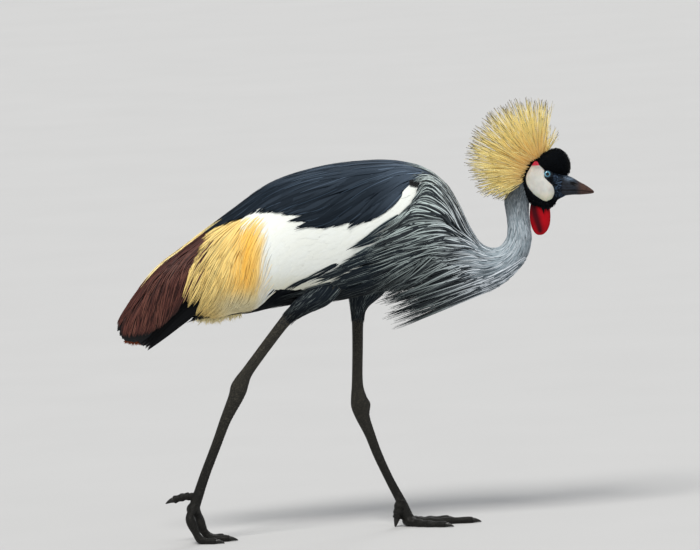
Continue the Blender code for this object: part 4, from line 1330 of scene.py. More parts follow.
def grow(
    form, s, a, heading, length, half_width, depth, section, outline, tint, random,
    knots=8, flat=0.25, keep=None, sway=0.07, shaft=(0.0, 0.0), locks=None, bend=0.0, loose=0.0,
    uneven=0.0004, within=None, short_of=None, slack=0.0015,
):
    """Vanes from roots on a form. depth is how far root and tip lie under the form's surface.

    The path's depth runs from the root's to the tip's with the square root of its length, so that each vane
    leaves the skin early and its tip lies on the next. tint is a function of points, share of length and
    chance; shaft is the strength of the shaft line and the share of vanes that show it; locks is a number
    and a pull; flat is the rise as a share of the half width, a number or a function of points; bend turns
    paths as they go; loose lifts tips off the coat by up to that much; uneven is the spread of depth; and
    within, short_of and slack are those of cut_off.
    """
    turn = random.normal(0, sway, len(s))
    curl = random.normal(0, bend, len(s))
    length = length * random.uniform(0.86, 1.1, len(s))
    points, normals = form.trail(s, a, heading, length, knots, turn, curl)
    wanted = np.ones(len(s), bool)
    if within or short_of:
        points, normals, wanted = cut_off(points, normals, within, short_of, slack, random)
    if keep:
        wanted &= keep(points)
    points, normals, s, a = points[wanted], normals[wanted], s[wanted], a[wanted]
    t = np.linspace(0, 1, knots)
    root, tip = depth
    level = root + (tip - root) * np.sqrt(t)[None] + random.normal(0, uneven, len(points))[:, None]
    level = level - loose * random.uniform(0, 1, len(points))[:, None] ** 2 * t[None] ** 3
    points = points - normals * level[..., None]
    if locks:
        points = gather(points, *locks, random)
    chance = random.uniform(0, 1, len(points))
    width = np.broadcast_to(half_width, wanted.shape)[wanted] * random.uniform(0.85, 1.15, len(points))
    width = width[:, None] * outline(t)[None]
    strength, share = shaft
    line = strength * (random.uniform(0, 1, len(points)) < share) * random.uniform(0.5, 1, len(points))
    shades = tint(points, t, chance)
    rise = width * (flat(points)[:, None] if callable(flat) else flat) + 0.0001
    return vanes(points, normals, width, rise, section, shades, form.patch(s, a), random, line)


def plain(key):
    """A tint function that gives every point one colour."""
    return lambda points, t, chance: np.broadcast_to(colour(key), points.shape)


def by_chance(first, second, low, span):
    """A tint function that mixes two colours, by a share from low to low + span for each vane."""
    return lambda points, t, chance: mixed(first, second, (low + span * chance[:, None]) * np.ones_like(t))


def ridge_tint(dark, pale, t, chance):
    """Tint of a ridged vane: dark edges, and a ridge that takes the pale colour, the more by chance."""
    strength = np.clip(0.35 + 0.75 * chance[:, None], 0, 1) * np.ones_like(t)
    edge = np.broadcast_to(dark, (*strength.shape, 3))
    crest = dark * (1 - strength[..., None]) + pale * strength[..., None]
    return np.stack([edge, crest, edge], axis=2)


def crosses(outlines, points):
    """Whether a path runs over one of the outlines."""
    return np.any([inside(outline, points).any(axis=1) for outline in outlines], axis=0)


def nearest_tips(points, wanted, allowed):
    """Marks on each side the allowed path whose tip comes nearest to each wanted place of the side view."""
    tip = points[:, -1]
    found = np.zeros(len(points), bool)
    for place in wanted:
        distance = np.linalg.norm(seen(tip) - place, axis=1) + ~allowed
        for sign in SIDES.values():
            found[np.argmin(distance + (tip[:, 1] * sign < 0))] = True
    return found


class CRANE_OT_neck_coat(CraneOperator):
    """Short feathers of the neck, long plumes of the breast and the fringe that hangs from them"""

    bl_idname = "crane.neck_coat"
    bl_label = "Neck coat"

    SEED = 11

    def execute(self, context):
        random = np.random.default_rng(self.SEED)
        material = feather_material("grey neck feather", 0.6, streak=0.22, barb_depth=0.2)
        self.neck(random, material)
        self.breast(random, material)
        self.fringe(random, material)
        return {"FINISHED"}

    def neck(self, random, material):
        levels = [14, 17, 23]
        s, a = self.roots(
            BODY, 14.2, 23.6, (levels, [0.0080, 0.0056, 0.0038]), (levels, [0.0028, 0.0024, 0.0020]), random
        )
        length = ramp(s, [14, 16, 18, 21, 23.6], [0.062, 0.038, 0.024, 0.016, 0.011])
        width = ramp(s, [14, 18, 23], [0.0016, 0.0012, 0.0010])

        def tint(points, t, chance):
            shade = smoothstep(0.510, 0.590, points[..., 2]) * 0.62
            pale = mixed("neck", "neck_pale", smoothstep(0.2, 0.9, chance))[:, None] * np.ones((1, len(t), 1))
            dark = mixed("neck_dark", "neck", 0.25)
            out = ridge_tint(dark, colour("neck"), t, chance)
            out[:, :, 1] = out[:, :, 1] * 0.25 + pale * 0.75
            # Painted shade: darker towards the neck's base
            base = 1 - 0.28 * smoothstep(0.262, 0.205, points[..., 0])
            return out * ((1 - shade) * base)[:, :, None, None]

        batch = grow(
            BODY, s, a, body_lie, length, width, (0.0026, 0.0002), RIDGED, pointed, tint, random, knots=6,
            flat=0.35,
        )
        make_piece("neck_feathers", [batch], material, coat=True)

    def plume_tint(self, points, t, chance):
        """Pale blue-grey at the neck, greener and darker over the breast, slate towards the belly."""
        back = smoothstep(0.23, 0.05, points[..., 0])
        parted = smoothstep(0.27, 0.14, points[..., 0])
        low = smoothstep(0.50, 0.42, points[..., 2]) * smoothstep(0.16, 0.02, points[..., 0])
        pale = mixed("neck_pale", "plume_pale", np.clip(back * 1.6, 0, 1))
        pale = pale * (1 - np.clip(0.22 * back + 0.35 * low, 0, 0.8))[..., None]
        dark = mixed("neck_dark", "plume_dark", np.clip(parted * 1.6, 0, 1))
        strength = np.clip(3.2 * (chance[:, None] - 0.38) - 0.7 * t[None] ** 3 * back, 0.03, 1)[..., None]
        crest = dark * (1 - strength) + pale * 1.45 * strength
        # Dark edges: partly the plumes' own darker edges, partly painted shade between them
        edge = dark * (0.8 - 0.45 * back[..., None]) + crest * 0.1
        return np.stack([edge, crest, edge], axis=2)

    def breast(self, random, material):
        """A close layer of short dark feathers, and long pale-ridged plumes in locks over it."""

        def keep(points):
            root, tip = points[:, 0], points[:, -1]
            over_mantle = inside(ZONES["mantle"], tip) & (tip[:, 0] < 0.085)
            rooted = ~inside(ZONES["white"], root) & ~inside(ZONES["mantle"], root)
            return ~over_mantle & (root[:, 0] > 0.05) & rooted

        def under(points, t, chance):
            return self.plume_tint(points, t, chance * 0.60)

        s, a = self.roots(BODY, 9.9, 15.6, 0.0125, ([10, 15], [0.0070, 0.0048]), random)
        batches = [
            grow(
                BODY, s, a, body_lie, ramp(s, [9.9, 15.6], [0.060, 0.046]),
                ramp(s, [10, 15.6], [0.0032, 0.0024]),
                (0.0080, 0.0025), RIDGED, pointed, under, random, knots=7, flat=0.25, keep=keep, sway=0.10,
                short_of=[STRIPE],
            )
        ]
        s, a = self.roots(BODY, 10.1, 16.2, 0.0150, ([10, 15], [0.0042, 0.0030]), random)
        batches.append(
            grow(
                BODY, s, a, body_lie, ramp(s, [10, 12, 14, 16.2], [0.092, 0.120, 0.108, 0.068]),
                ramp(s, [10, 16.2], [0.0019, 0.0012]), (0.0040, -0.0010), RIDGED, tapering, self.plume_tint,
                random, knots=11, flat=0.5, keep=keep, sway=0.08, locks=(260, 0.55), bend=0.18, loose=0.0035,
                short_of=[STRIPE, *FLANK_NOTCHES], slack=0.003,
            )
        )
        # A small black tuft at the upper end of the white stripe, on each side
        s, a = (
            x.reshape(-1) for x in np.meshgrid([9.54, 9.61, 9.68, 9.75, 9.82], [-0.78, -0.73, 0.73, 0.78])
        )
        batches.append(
            grow(
                BODY, s, a, body_lie, 0.010, 0.0026, (0.0005, -0.0012), RIDGED, rounded, plain("velvet"),
                random, knots=5, flat=0.3,
            )
        )
        make_piece("breast_plumes", batches, material, coat=True)

    def fringe(self, random, material):
        """Plumes rooted on sides and underside of the neck's base, which leave it and hang free in a fan."""
        s, a = self.roots(BODY, 10.4, 17.2, 0.0092, ([11, 17], [0.0056, 0.0040]), random)
        low = np.abs(a - math.pi) < ramp(s, [10.4, 12, 14, 15.5, 17.2], [0.85, 1.15, 1.40, 1.05, 0.60])
        s, a = s[low], a[low]
        count = len(s)
        root = BODY.point(s, a)
        # Tips lie along the fan's rear edge, those of the underside also along its lower edge
        height = np.clip(np.abs(a - math.pi) / 1.45, 0, 1)
        height = np.clip(
            0.60 * height + 0.75 * smoothstep(14.6, 11.2, s) + random.normal(0, 0.09, count), 0, 1
        )
        tip_x = 0.018 + 0.022 * (1 - height)
        lower = 0.3440 + (tip_x - 0.0445) * 0.352
        upper = 0.4270 + (tip_x - 0.0300) * 0.25
        tip_z = lower + (upper - lower) * height ** 1.1 + 0.002
        # Few plumes reach the fan's end: most stop short of it
        short = ramp(height, [0, 0.3, 1], [0.30, 0.50, 0.60]) * random.uniform(0, 1, count) ** 0.75
        tip_x = tip_x + (root[:, 0] - tip_x) * short
        tip_z = tip_z + (np.minimum(root[:, 2], 0.425) - tip_z) * short * 0.9
        tip_y = root[:, 1] * random.uniform(0.35, 0.75, count)
        tip = np.stack([tip_x, tip_y, tip_z], axis=-1)
        t = np.linspace(0, 1, 12)
        points, normals = BODY.leave(s, a, tip, t, 0.0012)
        points = gather(points, 90, 0.55, random)
        tilt = random.normal(0, 0.35, count)[:, None, None]
        normals = unit(normals + tilt * np.array([0.3, 0, 1.0]))
        chance = random.uniform(0, 1, count)
        width = 0.0015 * random.uniform(0.7, 1.3, count)[:, None] * tapering(t)[None] ** 0.7
        patch = BODY.patch(s, a)
        tint = self.fringe_tint(points, t, chance)
        plumes = vanes(points, normals, width, width * 0.5 + 0.0001, RIDGED, tint, patch, random)
        barbs = self.barbs(points, normals, patch, random)
        make_piece("fringe_plumes", [plumes, barbs], material, ["breast_fringe"], coat=True)

    def fringe_tint(self, points, t, chance):
        """The neck's greys at the roots, grey-green ridges further on, near black at the free tips."""
        near = self.plume_tint(points, t * 0, np.clip(chance * 1.1, 0, 1))
        duller = 0.30 + 0.45 * smoothstep(0.45, 1.0, t[None]) * np.ones((len(points), 1))
        pale = mixed("plume_pale", "plume_dark", duller)
        dark = np.broadcast_to(colour("plume_dark") * 0.8, pale.shape)
        strength = np.clip(1.7 * (chance[:, None, None] - 0.25), 0.05, 1)
        crest = dark * (1 - strength) + pale * strength
        free = np.stack([dark, crest, dark], axis=2)
        share = smoothstep(0.20, 0.08, points[..., 0])[..., None, None]
        return near * (1 - share) + free * share

    def barbs(self, points, normals, patch, random):
        """Fine barbs that leave each plume's outer two thirds at a small angle, on both sides in turn."""
        knots = points.shape[1]
        each = 14
        stations = np.linspace(0.45, 0.97, each)
        low = np.floor(stations * (knots - 1)).astype(int).clip(0, knots - 2)
        share = (stations * (knots - 1) - low)[None, :, None]
        start = points[:, low] * (1 - share) + points[:, low + 1] * share
        forward = unit(points[:, low + 1] - points[:, low])
        side = unit(np.cross(forward, normals[:, low])) * np.where(np.arange(each) % 2, 1, -1)[None, :, None]
        count = len(points) * each
        length = 0.015 * (1.15 - stations)[None] * random.uniform(0.6, 1.2, (len(points), each))
        length = length.reshape(-1, 1, 1)
        u = np.linspace(0, 1, 3)[None, :, None]
        way = unit(forward + side * 0.38).reshape(-1, 1, 3)
        bend = forward.reshape(-1, 1, 3)
        paths = start.reshape(-1, 1, 3) + (way * u * (1 - 0.35 * u) + bend * 0.35 * u**2) * length
        facing = np.broadcast_to(normals[:, low].reshape(-1, 1, 3), paths.shape)
        width = np.broadcast_to(0.00020 * np.array([1.0, 0.8, 0.25]), (count, 3))
        tone = mixed("plume_dark", "plume_pale", 0.10 + 0.40 * random.uniform(0, 1, count) ** 2)
        tint = np.broadcast_to(tone[:, None], (count, 3, 3))
        return vanes(paths, facing, width, width, RIDGED, tint, np.repeat(patch, each, axis=0), random)


class CRANE_OT_body_coat(CraneOperator):
    """Mantle, flank, belly and thigh feathers"""

    bl_idname = "crane.body_coat"
    bl_label = "Body coat"

    SEED = 23

    def execute(self, context):
        random = np.random.default_rng(self.SEED)
        material = feather_material("slate contour feather", 0.7, streak=0.16, barb_depth=0.12, specular=0.08)
        self.mantle(random, material)
        self.belly(random, material)
        self.thighs(random, material)
        return {"FINISHED"}

    def mantle(self, random, material):
        """Broad feathers in close rows under long narrow ones whose shafts show as thin pale lines."""

        def keep(points):
            return points[:, 0, 2] > 0.50

        def tint(points, t, chance):
            # Painted light: a sheen paler towards the front and on top of the back; the rest of the pale
            # share differs by chance
            front = smoothstep(0.02, 0.12, points[..., 0]) * 0.26
            crown = smoothstep(0.60, 0.65, points[..., 2]) * 0.12
            pale = 0.03 + 0.09 * chance[:, None] ** 3 + front + crown
            crest = mixed("slate", "slate_pale", pale)
            # Painted shade: the lower mantle darker
            crest = crest * (1 - 0.30 * smoothstep(0.59, 0.54, points[..., 2]))[..., None]
            edge = crest * (0.95 + 0.5 * pale[..., None] * t[None, :, None] ** 3)
            return np.stack([edge, crest, crest, crest, edge, edge], axis=2)

        batches = []
        for row, column, stretch, half, depth, shaft, knots in (
            (0.0130, 0.0090, 1.0, 0.0070, (0.0050, 0.0010), (1.2, 0.15), 8),
            (0.0200, 0.0078, 1.25, 0.0056, (0.0028, -0.0008), (3.0, 0.32), 10),
        ):
            s, a = self.roots(BODY, 4.4, 11.7, row, column, random)
            length = ramp(s, [4.4, 6, 9, 11.7], [0.080, 0.098, 0.092, 0.066]) * stretch
            width = half * ramp(s, [10.0, 10.8], [1.0, 0.6])
            batches.append(
                grow(
                    BODY, s, a, body_lie, length, width, depth, BROAD, tapering, tint, random,
                    knots=knots, flat=0.04, keep=keep, sway=0.03, shaft=shaft, bend=0.05, uneven=0.00015,
                    within=ZONES["mantle"], short_of=[STRIPE, *MANTLE_NOTCHES],
                )
            )

        def over_white(points):
            clear = inside(ZONES["mantle"], points[:, 0]) & ~crosses(MANTLE_NOTCHES[:2] + [STRIPE], points)
            return nearest_tips(points, MANTLE_TIPS, clear)

        s, a = self.roots(BODY, 5.5, 10.6, 0.0050, 0.0035, random)
        batches.append(
            grow(
                BODY, s, a, body_lie, 0.066, 0.0046, (0.0010, -0.0014), BROAD, tapering, tint, random,
                knots=10, flat=0.04, keep=over_white, sway=0.10, uneven=0.0001,
            )
        )
        make_piece("mantle_feathers", batches, material, ["mantle"], coat=True)

    def belly(self, random, material):
        """Short dark feathers all over flank and belly, and long ones with thin pale edges over the flank."""

        def covered(points):
            tip, root = points[:, -1], points[:, 0]
            on_white = inside(ZONES["white"], tip) & inside(ZONES["white"], root)
            return inside(ZONES["mantle"], tip) | on_white | crosses([STRIPE], points)

        def keep(points):
            tip = points[:, -1]
            return ~covered(points) & (tip[:, 2] < 0.50) & (tip[:, 0] > -0.30)

        def on_flank(points):
            tip, root = points[:, -1], points[:, 0]
            # Tips may lie a little way over the white, the more so by chance
            over = (np.sin(root[:, 0] * 9000) * 0.5 + 0.5)[:, None] * np.array([0.016, 0, -0.016])
            clear = ~inside(ZONES["white"], tip + over) & ~inside(ZONES["gold"], tip)
            rooted = ~inside(ZONES["white"], root) & ~inside(ZONES["mantle"], root)
            return keep(points) & clear & rooted & (root[:, 0] > -0.06) & (tip[:, 2] > 0.406)

        def tint(points, t, chance):
            front = smoothstep(-0.04, 0.10, points[..., 0]) * 0.35
            crest = mixed("slate_deep", "slate", front + 0.4 * chance[:, None]) * 0.6
            return np.stack([crest * 0.6, crest, crest * 0.6], axis=2)

        def shaded(points, t, chance):
            low = 0.30 + 0.70 * smoothstep(0.405, 0.450, points[..., 2])
            return self.edged(points, t, chance) * low[..., None, None]

        s, a = self.roots(BODY, 3.6, 11.8, 0.0125, 0.0085, random)
        batches = [
            grow(
                BODY, s, a, body_lie, 0.056, 0.0048, (0.0085, 0.0025), RIDGED, pointed, tint, random,
                knots=6, flat=0.22, keep=keep,
            )
        ]
        s, a = self.roots(BODY, 6.6, 11.9, 0.0150, 0.0060, random)
        batches.append(
            grow(
                BODY, s, a, body_lie, 0.098, 0.0029, (0.0050, -0.0006), BROAD, tapering, shaded, random,
                knots=10, flat=0.25, keep=on_flank, sway=0.08, locks=(130, 0.45), bend=0.15, loose=0.003,
                short_of=FLANK_NOTCHES, slack=0.003,
            )
        )

        def over_white(points):
            barred = crosses([ZONES["mantle"], STRIPE, *FLANK_NOTCHES], points[:, :-1])
            return nearest_tips(points, FLANK_TIPS, ~inside(ZONES["white"], points[:, 0]) & ~barred)

        s, a = self.roots(BODY, 6.6, 12.5, 0.0060, 0.0040, random)
        batches.append(
            grow(
                BODY, s, a, body_lie, 0.060, 0.0030, (0.0020, -0.0016), BROAD, tapering, self.edged, random,
                knots=10, flat=0.25, keep=over_white, sway=0.12, bend=0.10,
            )
        )
        make_piece("flank_feathers", batches, material, coat=True)

    def edged(self, points, t, chance):
        """Dark vanes with thin pale edges, palest at the front."""
        front = smoothstep(-0.16, 0.06, points[..., 0])
        dark = mixed("slate_deep", "plume_dark", front)
        share = (0.03 + 0.95 * chance[:, None] ** 2) * (0.30 + 0.70 * front)
        pale = dark + (colour("plume_pale") - dark) * share[..., None]
        return np.stack([pale, dark, dark * 1.1, dark, pale, dark * 0.5], axis=2)

    def thighs(self, random, material):
        def tint(points, t, chance):
            low = smoothstep(0.43, 0.38, points[..., 2])[..., None, None]
            return self.edged(points, t, chance) * (1 - 0.45 * low)

        batches = []
        for side in SIDES:
            form = leg_form(side)
            s, a = self.roots(form, 0.3, 2.75, 0.0062, ([0, 1, 3], [0.0054, 0.0044, 0.0028]), random)
            length = ramp(s, [0, 1.5, 2.75], [0.048, 0.030, 0.013])
            width = ramp(s, [0, 1.5, 2.75], [0.0028, 0.0022, 0.0013])
            batches.append(
                grow(
                    form, s, a, forwards, length, width, (0.0014, -0.0008), BROAD, pointed, tint, random,
                    knots=6, flat=0.25,
                )
            )
        make_piece("thigh_feathers", batches, material, coat=True)


def hanging(root, fall, curl, half_width, knots, tint, patch, random, locks=None):
    """Free strands: root + fall * t + curl * t squared, ridged towards the bird's sides."""
    t = np.linspace(0, 1, knots)
    points = root[:, None] + fall[:, None] * t[None, :, None] + curl[:, None] * (t**2)[None, :, None]
    if locks:
        points = gather(points, *locks, random)
    normals = np.broadcast_to(
        np.array([0, 1.0, 0]) * np.where(root[:, 1] < 0, -1, 1)[:, None, None], points.shape
    )
    width = half_width * strand(t)[None] * np.ones((len(root), 1))
    shades = tint(points, t, random.uniform(0, 1, len(root)))
    return vanes(points, normals, width, width * 0.7, RIDGED, shades, patch, random)


def arcs(root, bend, tip, out):
    """Curves of twelve knots from each root to its tip, drawn towards its bend, and their outward normals."""
    t = np.linspace(0, 1, 12)[:, None]
    points = root[:, None] * (1 - t) ** 2 + 2 * bend[:, None] * t * (1 - t) + tip[:, None] * t**2
    return points, np.broadcast_to(unit(out)[:, None], points.shape)


class CRANE_OT_wings(CraneOperator):
    """White coverts, gold plumes, chestnut and black flight feathers, and the tail"""

    bl_idname = "crane.wings"
    bl_label = "Wings and tail"

    SEED = 37

    def execute(self, context):
        random = np.random.default_rng(self.SEED)
        self.coverts(
            random, feather_material("white covert feather", 0.6, streak=0.05, barb_depth=0.05, specular=0.15)
        )
        self.gold(random, feather_material("gold plume strand", 0.55, streak=0.2, barb_depth=0.1, sheen=0.1))
        self.chestnut(random, feather_material("chestnut strand", 0.5, streak=0.25, barb_depth=0.1))
        self.flight(
            random, feather_material("black flight feather", 0.6, streak=0.15, barb_depth=0.2, specular=0.12)
        )
        return {"FINISHED"}

    def coverts(self, random, material):
        s, a = self.roots(BODY, 5.2, 11.3, 0.0125, 0.0078, random)

        def keep(points):
            return points[:, 0, 2] > 0.42

        def tint(points, t, chance):
            # Cream towards the lower edge is painted shade; a little cream by chance besides
            mix_share = 0.05 + 0.12 * chance[:, None] + 0.9 * smoothstep(0.48, 0.41, points[..., 2])
            crest = mixed("white", "cream", np.clip(mix_share, 0, 1))
            # Brighter at the rear and higher up: painted light
            painted_light = smoothstep(-0.06, -0.15, points[..., 0]) * smoothstep(0.45, 0.52, points[..., 2])
            crest = crest * (1 + 0.05 * painted_light[..., None])
            return np.stack([crest] * 6, axis=2)

        length = ramp(s, [5, 9, 11.3], [0.080, 0.074, 0.050])
        width = ramp(s, [5, 9, 10, 11.3], [0.0075, 0.0068, 0.0055, 0.0040])
        batch = grow(
            BODY, s, a, body_lie, length, width, (0.0036, 0.0015), BROAD, rounded, tint, random,
            knots=8, flat=0.025, keep=keep, sway=0.02, uneven=0.00006, within=ZONES["white"], slack=0.001,
        )
        nodes = ["wing_coverts_right", "wing_coverts_left"]
        make_piece("white_coverts", [batch], material, nodes, coat=True)

    def gold_tint(self, points, t, chance):
        """White at the front, deep gold in a slanting band, straw behind, pale at the lower edge."""
        x, z = points[..., 0], points[..., 2]
        x = x + 0.012 * (chance[:, None] - 0.5)
        lean = 0.12 * (z - 0.5)
        white = smoothstep(-0.172, -0.152, x - lean)
        band = np.exp(-(((x + 0.188 - lean) / 0.021) ** 2))
        band = band * smoothstep(0.562, 0.535, z) * smoothstep(0.415, 0.470, z)
        mix_share = np.clip(0.05 + 0.28 * chance[:, None] + 0.75 * band, 0, 1)
        tone = mixed("straw", "gold", mix_share)
        fluff = (smoothstep(0.450, 0.410, z) * smoothstep(-0.265, -0.215, x) * 0.7)[..., None]
        tone = tone * (1 - fluff) + colour("cream") * fluff
        white = (white * (1 - 0.35 * (chance[:, None] > 0.8)))[..., None]
        return tone * (1 - white) + colour("white") * white, white

    def gold(self, random, material):
        """Loose strands in locks over a closed layer of broad vanes."""

        def keep(points):
            tip, root = points[:, -1], points[:, 0]
            rooted = inside(ZONES["gold"], root + np.array([-0.004, 0, -0.008]))
            rooted |= inside(ZONES["white"], root) & (root[:, 0] < -0.135)
            # Near the white, roots lie no more than 3 mm under the mantle's edge
            rooted &= ~inside(ZONES["mantle"], root - np.array([0, 0, 0.003])) | (root[:, 0] < -0.20)
            return rooted & (root[:, 2] < 0.600) & (tip[:, 2] < root[:, 2])

        def broad(points, t, chance):
            tone, _ = self.gold_tint(points, t, chance)
            # The under layer is darker, most at the rear: painted shade under the strands
            front = smoothstep(-0.25, -0.20, points[..., 0])[..., None]
            return tone * (0.50 + 0.35 * front + 0.15 * chance[:, None, None])

        def fine(points, t, chance):
            tone, white = self.gold_tint(points, t, chance)
            rear = smoothstep(-0.20, -0.27, points[..., 0])[..., None]
            darker = np.clip(0.9 - 2.2 * chance, 0, 1)[:, None, None]
            shade = 1 - 0.55 * darker * (0.35 + 0.65 * rear) * (1 - white)
            # Darker edges, most at the rear and none in the white: painted shade between the strands
            edge = tone * (1 - (0.12 + 0.40 * rear) * (1 - white))
            return np.stack([edge * shade, tone * shade, edge * shade], axis=2)

        def flatter(points):
            return ramp(points[:, 3, 0], [-0.205, -0.165], [0.7, 0.12])

        for side, sign in SIDES.items():

            def mine(points, sign=sign):
                return keep(points) & (points[:, 0, 1] * sign > 0)

            s, a = self.roots(BODY, 4.3, 8.2, 0.0120, 0.0080, random)
            batches = [
                grow(
                    BODY, s, a, body_lie, 0.080, 0.0052, (0.0075, 0.0030), BROAD, strand, broad, random,
                    knots=7, flat=0.12, keep=mine, sway=0.05, uneven=0.0002, within=ZONES["gold"],
                )
            ]
            for reach, depth, gap in ((0.080, (0.0050, 0.0006), 0.0030), (0.100, (0.0038, -0.0016), 0.0040)):
                s, a = self.roots(BODY, 4.3, 8.4, 0.0068, gap, random)
                batches.append(
                    grow(
                        BODY, s, a, body_lie, reach, 0.0010, depth, RIDGED, strand, fine, random,
                        knots=7, flat=flatter, keep=mine, sway=0.06, locks=(150, 0.66), within=ZONES["gold"],
                        slack=0.003,
                    )
                )
            if side == "right":
                batches += [self.fluff(random), self.rim(random)]
            make_piece(
                f"gold_plumes_{side}", batches, material, [f"wing_gold_{side}"], coat=True
            )

    def fluff(self, random):
        """Soft cream down that hangs free under the rump, in small locks of unequal length."""
        count = 620
        x = random.uniform(-0.285, -0.203, count)
        y = random.normal(0, 0.010, count).clip(-0.020, 0.020)
        root = np.stack([x, y, ramp(x, [-0.2887, -0.245, -0.19], [0.3920, 0.3935, 0.3975])], axis=-1)
        reach = 0.013 * (0.55 + 0.45 * np.sin((x + 0.285) / 0.082 * math.pi))
        reach = reach * random.uniform(0.35, 1.25, count)
        fall = np.stack(
            [random.normal(-0.35, 0.35, count), random.normal(0, 0.3, count), -np.ones(count)], axis=-1
        )
        curl = random.normal(0, 0.003, (count, 3))
        tint = by_chance("cream", "straw", 0.2, 0.6)
        patch = BODY.patch(np.full(count, 4.2), np.full(count, math.pi))
        return hanging(root, fall * reach[:, None], curl, 0.00035, 6, tint, patch, random, (70, 0.5))

    def rim(self, random):
        """A few long straw strands along the upper edge of the folded wing, on both sides."""
        s, a = self.roots(BODY, 3.4, 5.0, 0.010, 0.0030, random)
        off = np.abs((a + math.pi) % (2 * math.pi) - math.pi)
        edge = (off > 0.06) & (off < 0.24)
        edge &= random.uniform(0, 1, len(s)) < ramp(s, [3.4, 4.4, 5.0], [0.45, 0.7, 1.0])
        return grow(
            BODY, s[edge], a[edge], backwards, 0.070, 0.00050, (0.0010, -0.0010), RIDGED, strand,
            by_chance("straw", "cream", 0.0, 0.5), random, knots=9, flat=0.8, sway=0.02,
        )

    def chestnut(self, random, material):
        """A close layer of broad dark vanes, and loose paler strands in locks over it."""

        def keep(points):
            middle = points[:, 0] * 0.5 + points[:, -1] * 0.5
            return inside(ZONES["chestnut"], middle)

        def fine_tint(points, t, chance):
            top = ramp(points[..., 0], [-0.42, -0.39, -0.347, -0.289], [0.36, 0.405, 0.455, 0.497])
            rim = smoothstep(0.0, 0.03, points[..., 2] - top)
            pale = np.clip(1.1 * (chance[:, None] - 0.50) - 0.35 * rim, 0, 1)
            crest = mixed("chestnut", "chestnut_pale", pale)
            crest = crest * (0.35 + 0.65 * smoothstep(0.0, 0.5, chance))[:, None, None]
            edge = np.broadcast_to(colour("chestnut_dark"), crest.shape)
            return np.stack([edge, crest, edge], axis=2)

        broad_tint = by_chance("chestnut_dark", "chestnut", 0.0, 0.35)
        broad_s, broad_a = self.roots(BODY, 1.0, 5.6, 0.016, 0.010, random)
        fine_s, fine_a = self.roots(BODY, 0.7, 5.6, 0.0080, 0.0038, random)
        batches = [
            grow(
                BODY, broad_s, broad_a, body_lie, 0.085, 0.0075, (0.0085, 0.0035), BROAD, rounded, broad_tint,
                random, knots=8, flat=0.12, keep=keep, within=ZONES["chestnut"],
            ),
            grow(
                BODY, fine_s, fine_a, body_lie, 0.072, 0.0013, (0.0045, -0.0008), RIDGED, strand, fine_tint,
                random, knots=9, flat=0.6, keep=keep, sway=0.04, locks=(260, 0.5), slack=0.002,
                within=ZONES["chestnut"],
            ),
        ]
        nodes = ["wing_chestnut_right", "wing_chestnut_left"]
        make_piece("chestnut_feathers", batches, material, nodes, coat=True)
        self.rear_tips(random, material)

    def rear_tips(self, random, material):
        """Black rounded tips round the wing's end, and a rusty fringe under them."""

        def at_end(points):
            return inside(ZONES["rear_tips"], points[:, -1])

        s, a = self.roots(BODY, 0.2, 2.4, 0.0065, 0.0060, random)
        tips = grow(
            BODY, s, a, back_and_down(0.35), 0.026, 0.0046, (0.0050, 0.0030), BROAD, rounded, plain("black"),
            random, knots=6, flat=0.15, keep=at_end,
        )
        count = 300
        place = random.uniform(0, 1, count)
        aside = random.uniform(-0.009, 0.009, count)
        top = np.stack([-0.4104 + 0.033 * place, aside, 0.3600 - 0.0045 * place], axis=-1)
        reach = 0.0085 * random.uniform(0.45, 1.15, count) * (0.7 + 0.3 * np.sin(place * math.pi))
        fall = np.stack(
            [random.normal(-0.25, 0.25, count), random.normal(0, 0.15, count), -np.ones(count)], axis=-1
        )
        patch = BODY.patch(0.3 + 0.6 * place, np.full(count, math.pi))
        curl = random.normal(0, 0.001, (count, 3))
        rusty = by_chance("chestnut_dark", "rust", 0.5, 0.5)
        rust = hanging(top, fall * reach[:, None], curl, 0.0005, 4, rusty, patch, random)
        make_piece("wing_end_tips", [tips, rust], material, coat=True)

    def flight(self, random, material):
        """Primaries along the wing's lower edge and tail feathers between the wings, as long closed vanes."""
        for name, nodes, fans, outline in (
            ("flight_primaries", ["wing_primaries_right", "wing_primaries_left"], self.primaries(), pointed),
            ("tail_feathers", ["tail"], self.tail(), rounded),
        ):
            points, normals, width, patch = fans
            half = width * outline(np.linspace(0, 1, points.shape[1]))[None] * np.ones((len(points), 1))
            tint = np.broadcast_to(colour("black"), points.shape)
            batch = vanes(points, normals, half, half * 0.10 + 0.0003, BROAD, tint, patch, random, 3.0)
            make_piece(name, [batch], material, nodes, coat=True)

    def primaries(self):
        """Twelve vanes on each side, from under the gold plumes to the wing's tip, stacked outside in."""
        f = np.arange(12) / 11
        rows = []
        for sign in SIDES.values():
            root = np.stack([-0.250 - 0.02 * f, sign * (0.046 - 0.010 * f), 0.434 + 0.042 * f], axis=-1)
            bend = np.stack([-0.312 - 0.02 * f, sign * (0.040 - 0.010 * f), 0.393 + 0.045 * f], axis=-1)
            tip = np.stack([-0.3715 - 0.042 * f, sign * (0.014 - 0.006 * f), 0.3400 + 0.041 * f], axis=-1)
            rows.append((root, bend, tip, np.broadcast_to((0.15, sign, -0.25), root.shape)))
        points, normals = arcs(*(np.concatenate(part) for part in zip(*rows)))
        a = np.repeat([math.pi / 2 * 3, math.pi / 2], 12)
        return points, normals, 0.0090, BODY.patch(np.full(24, 3.0), a)

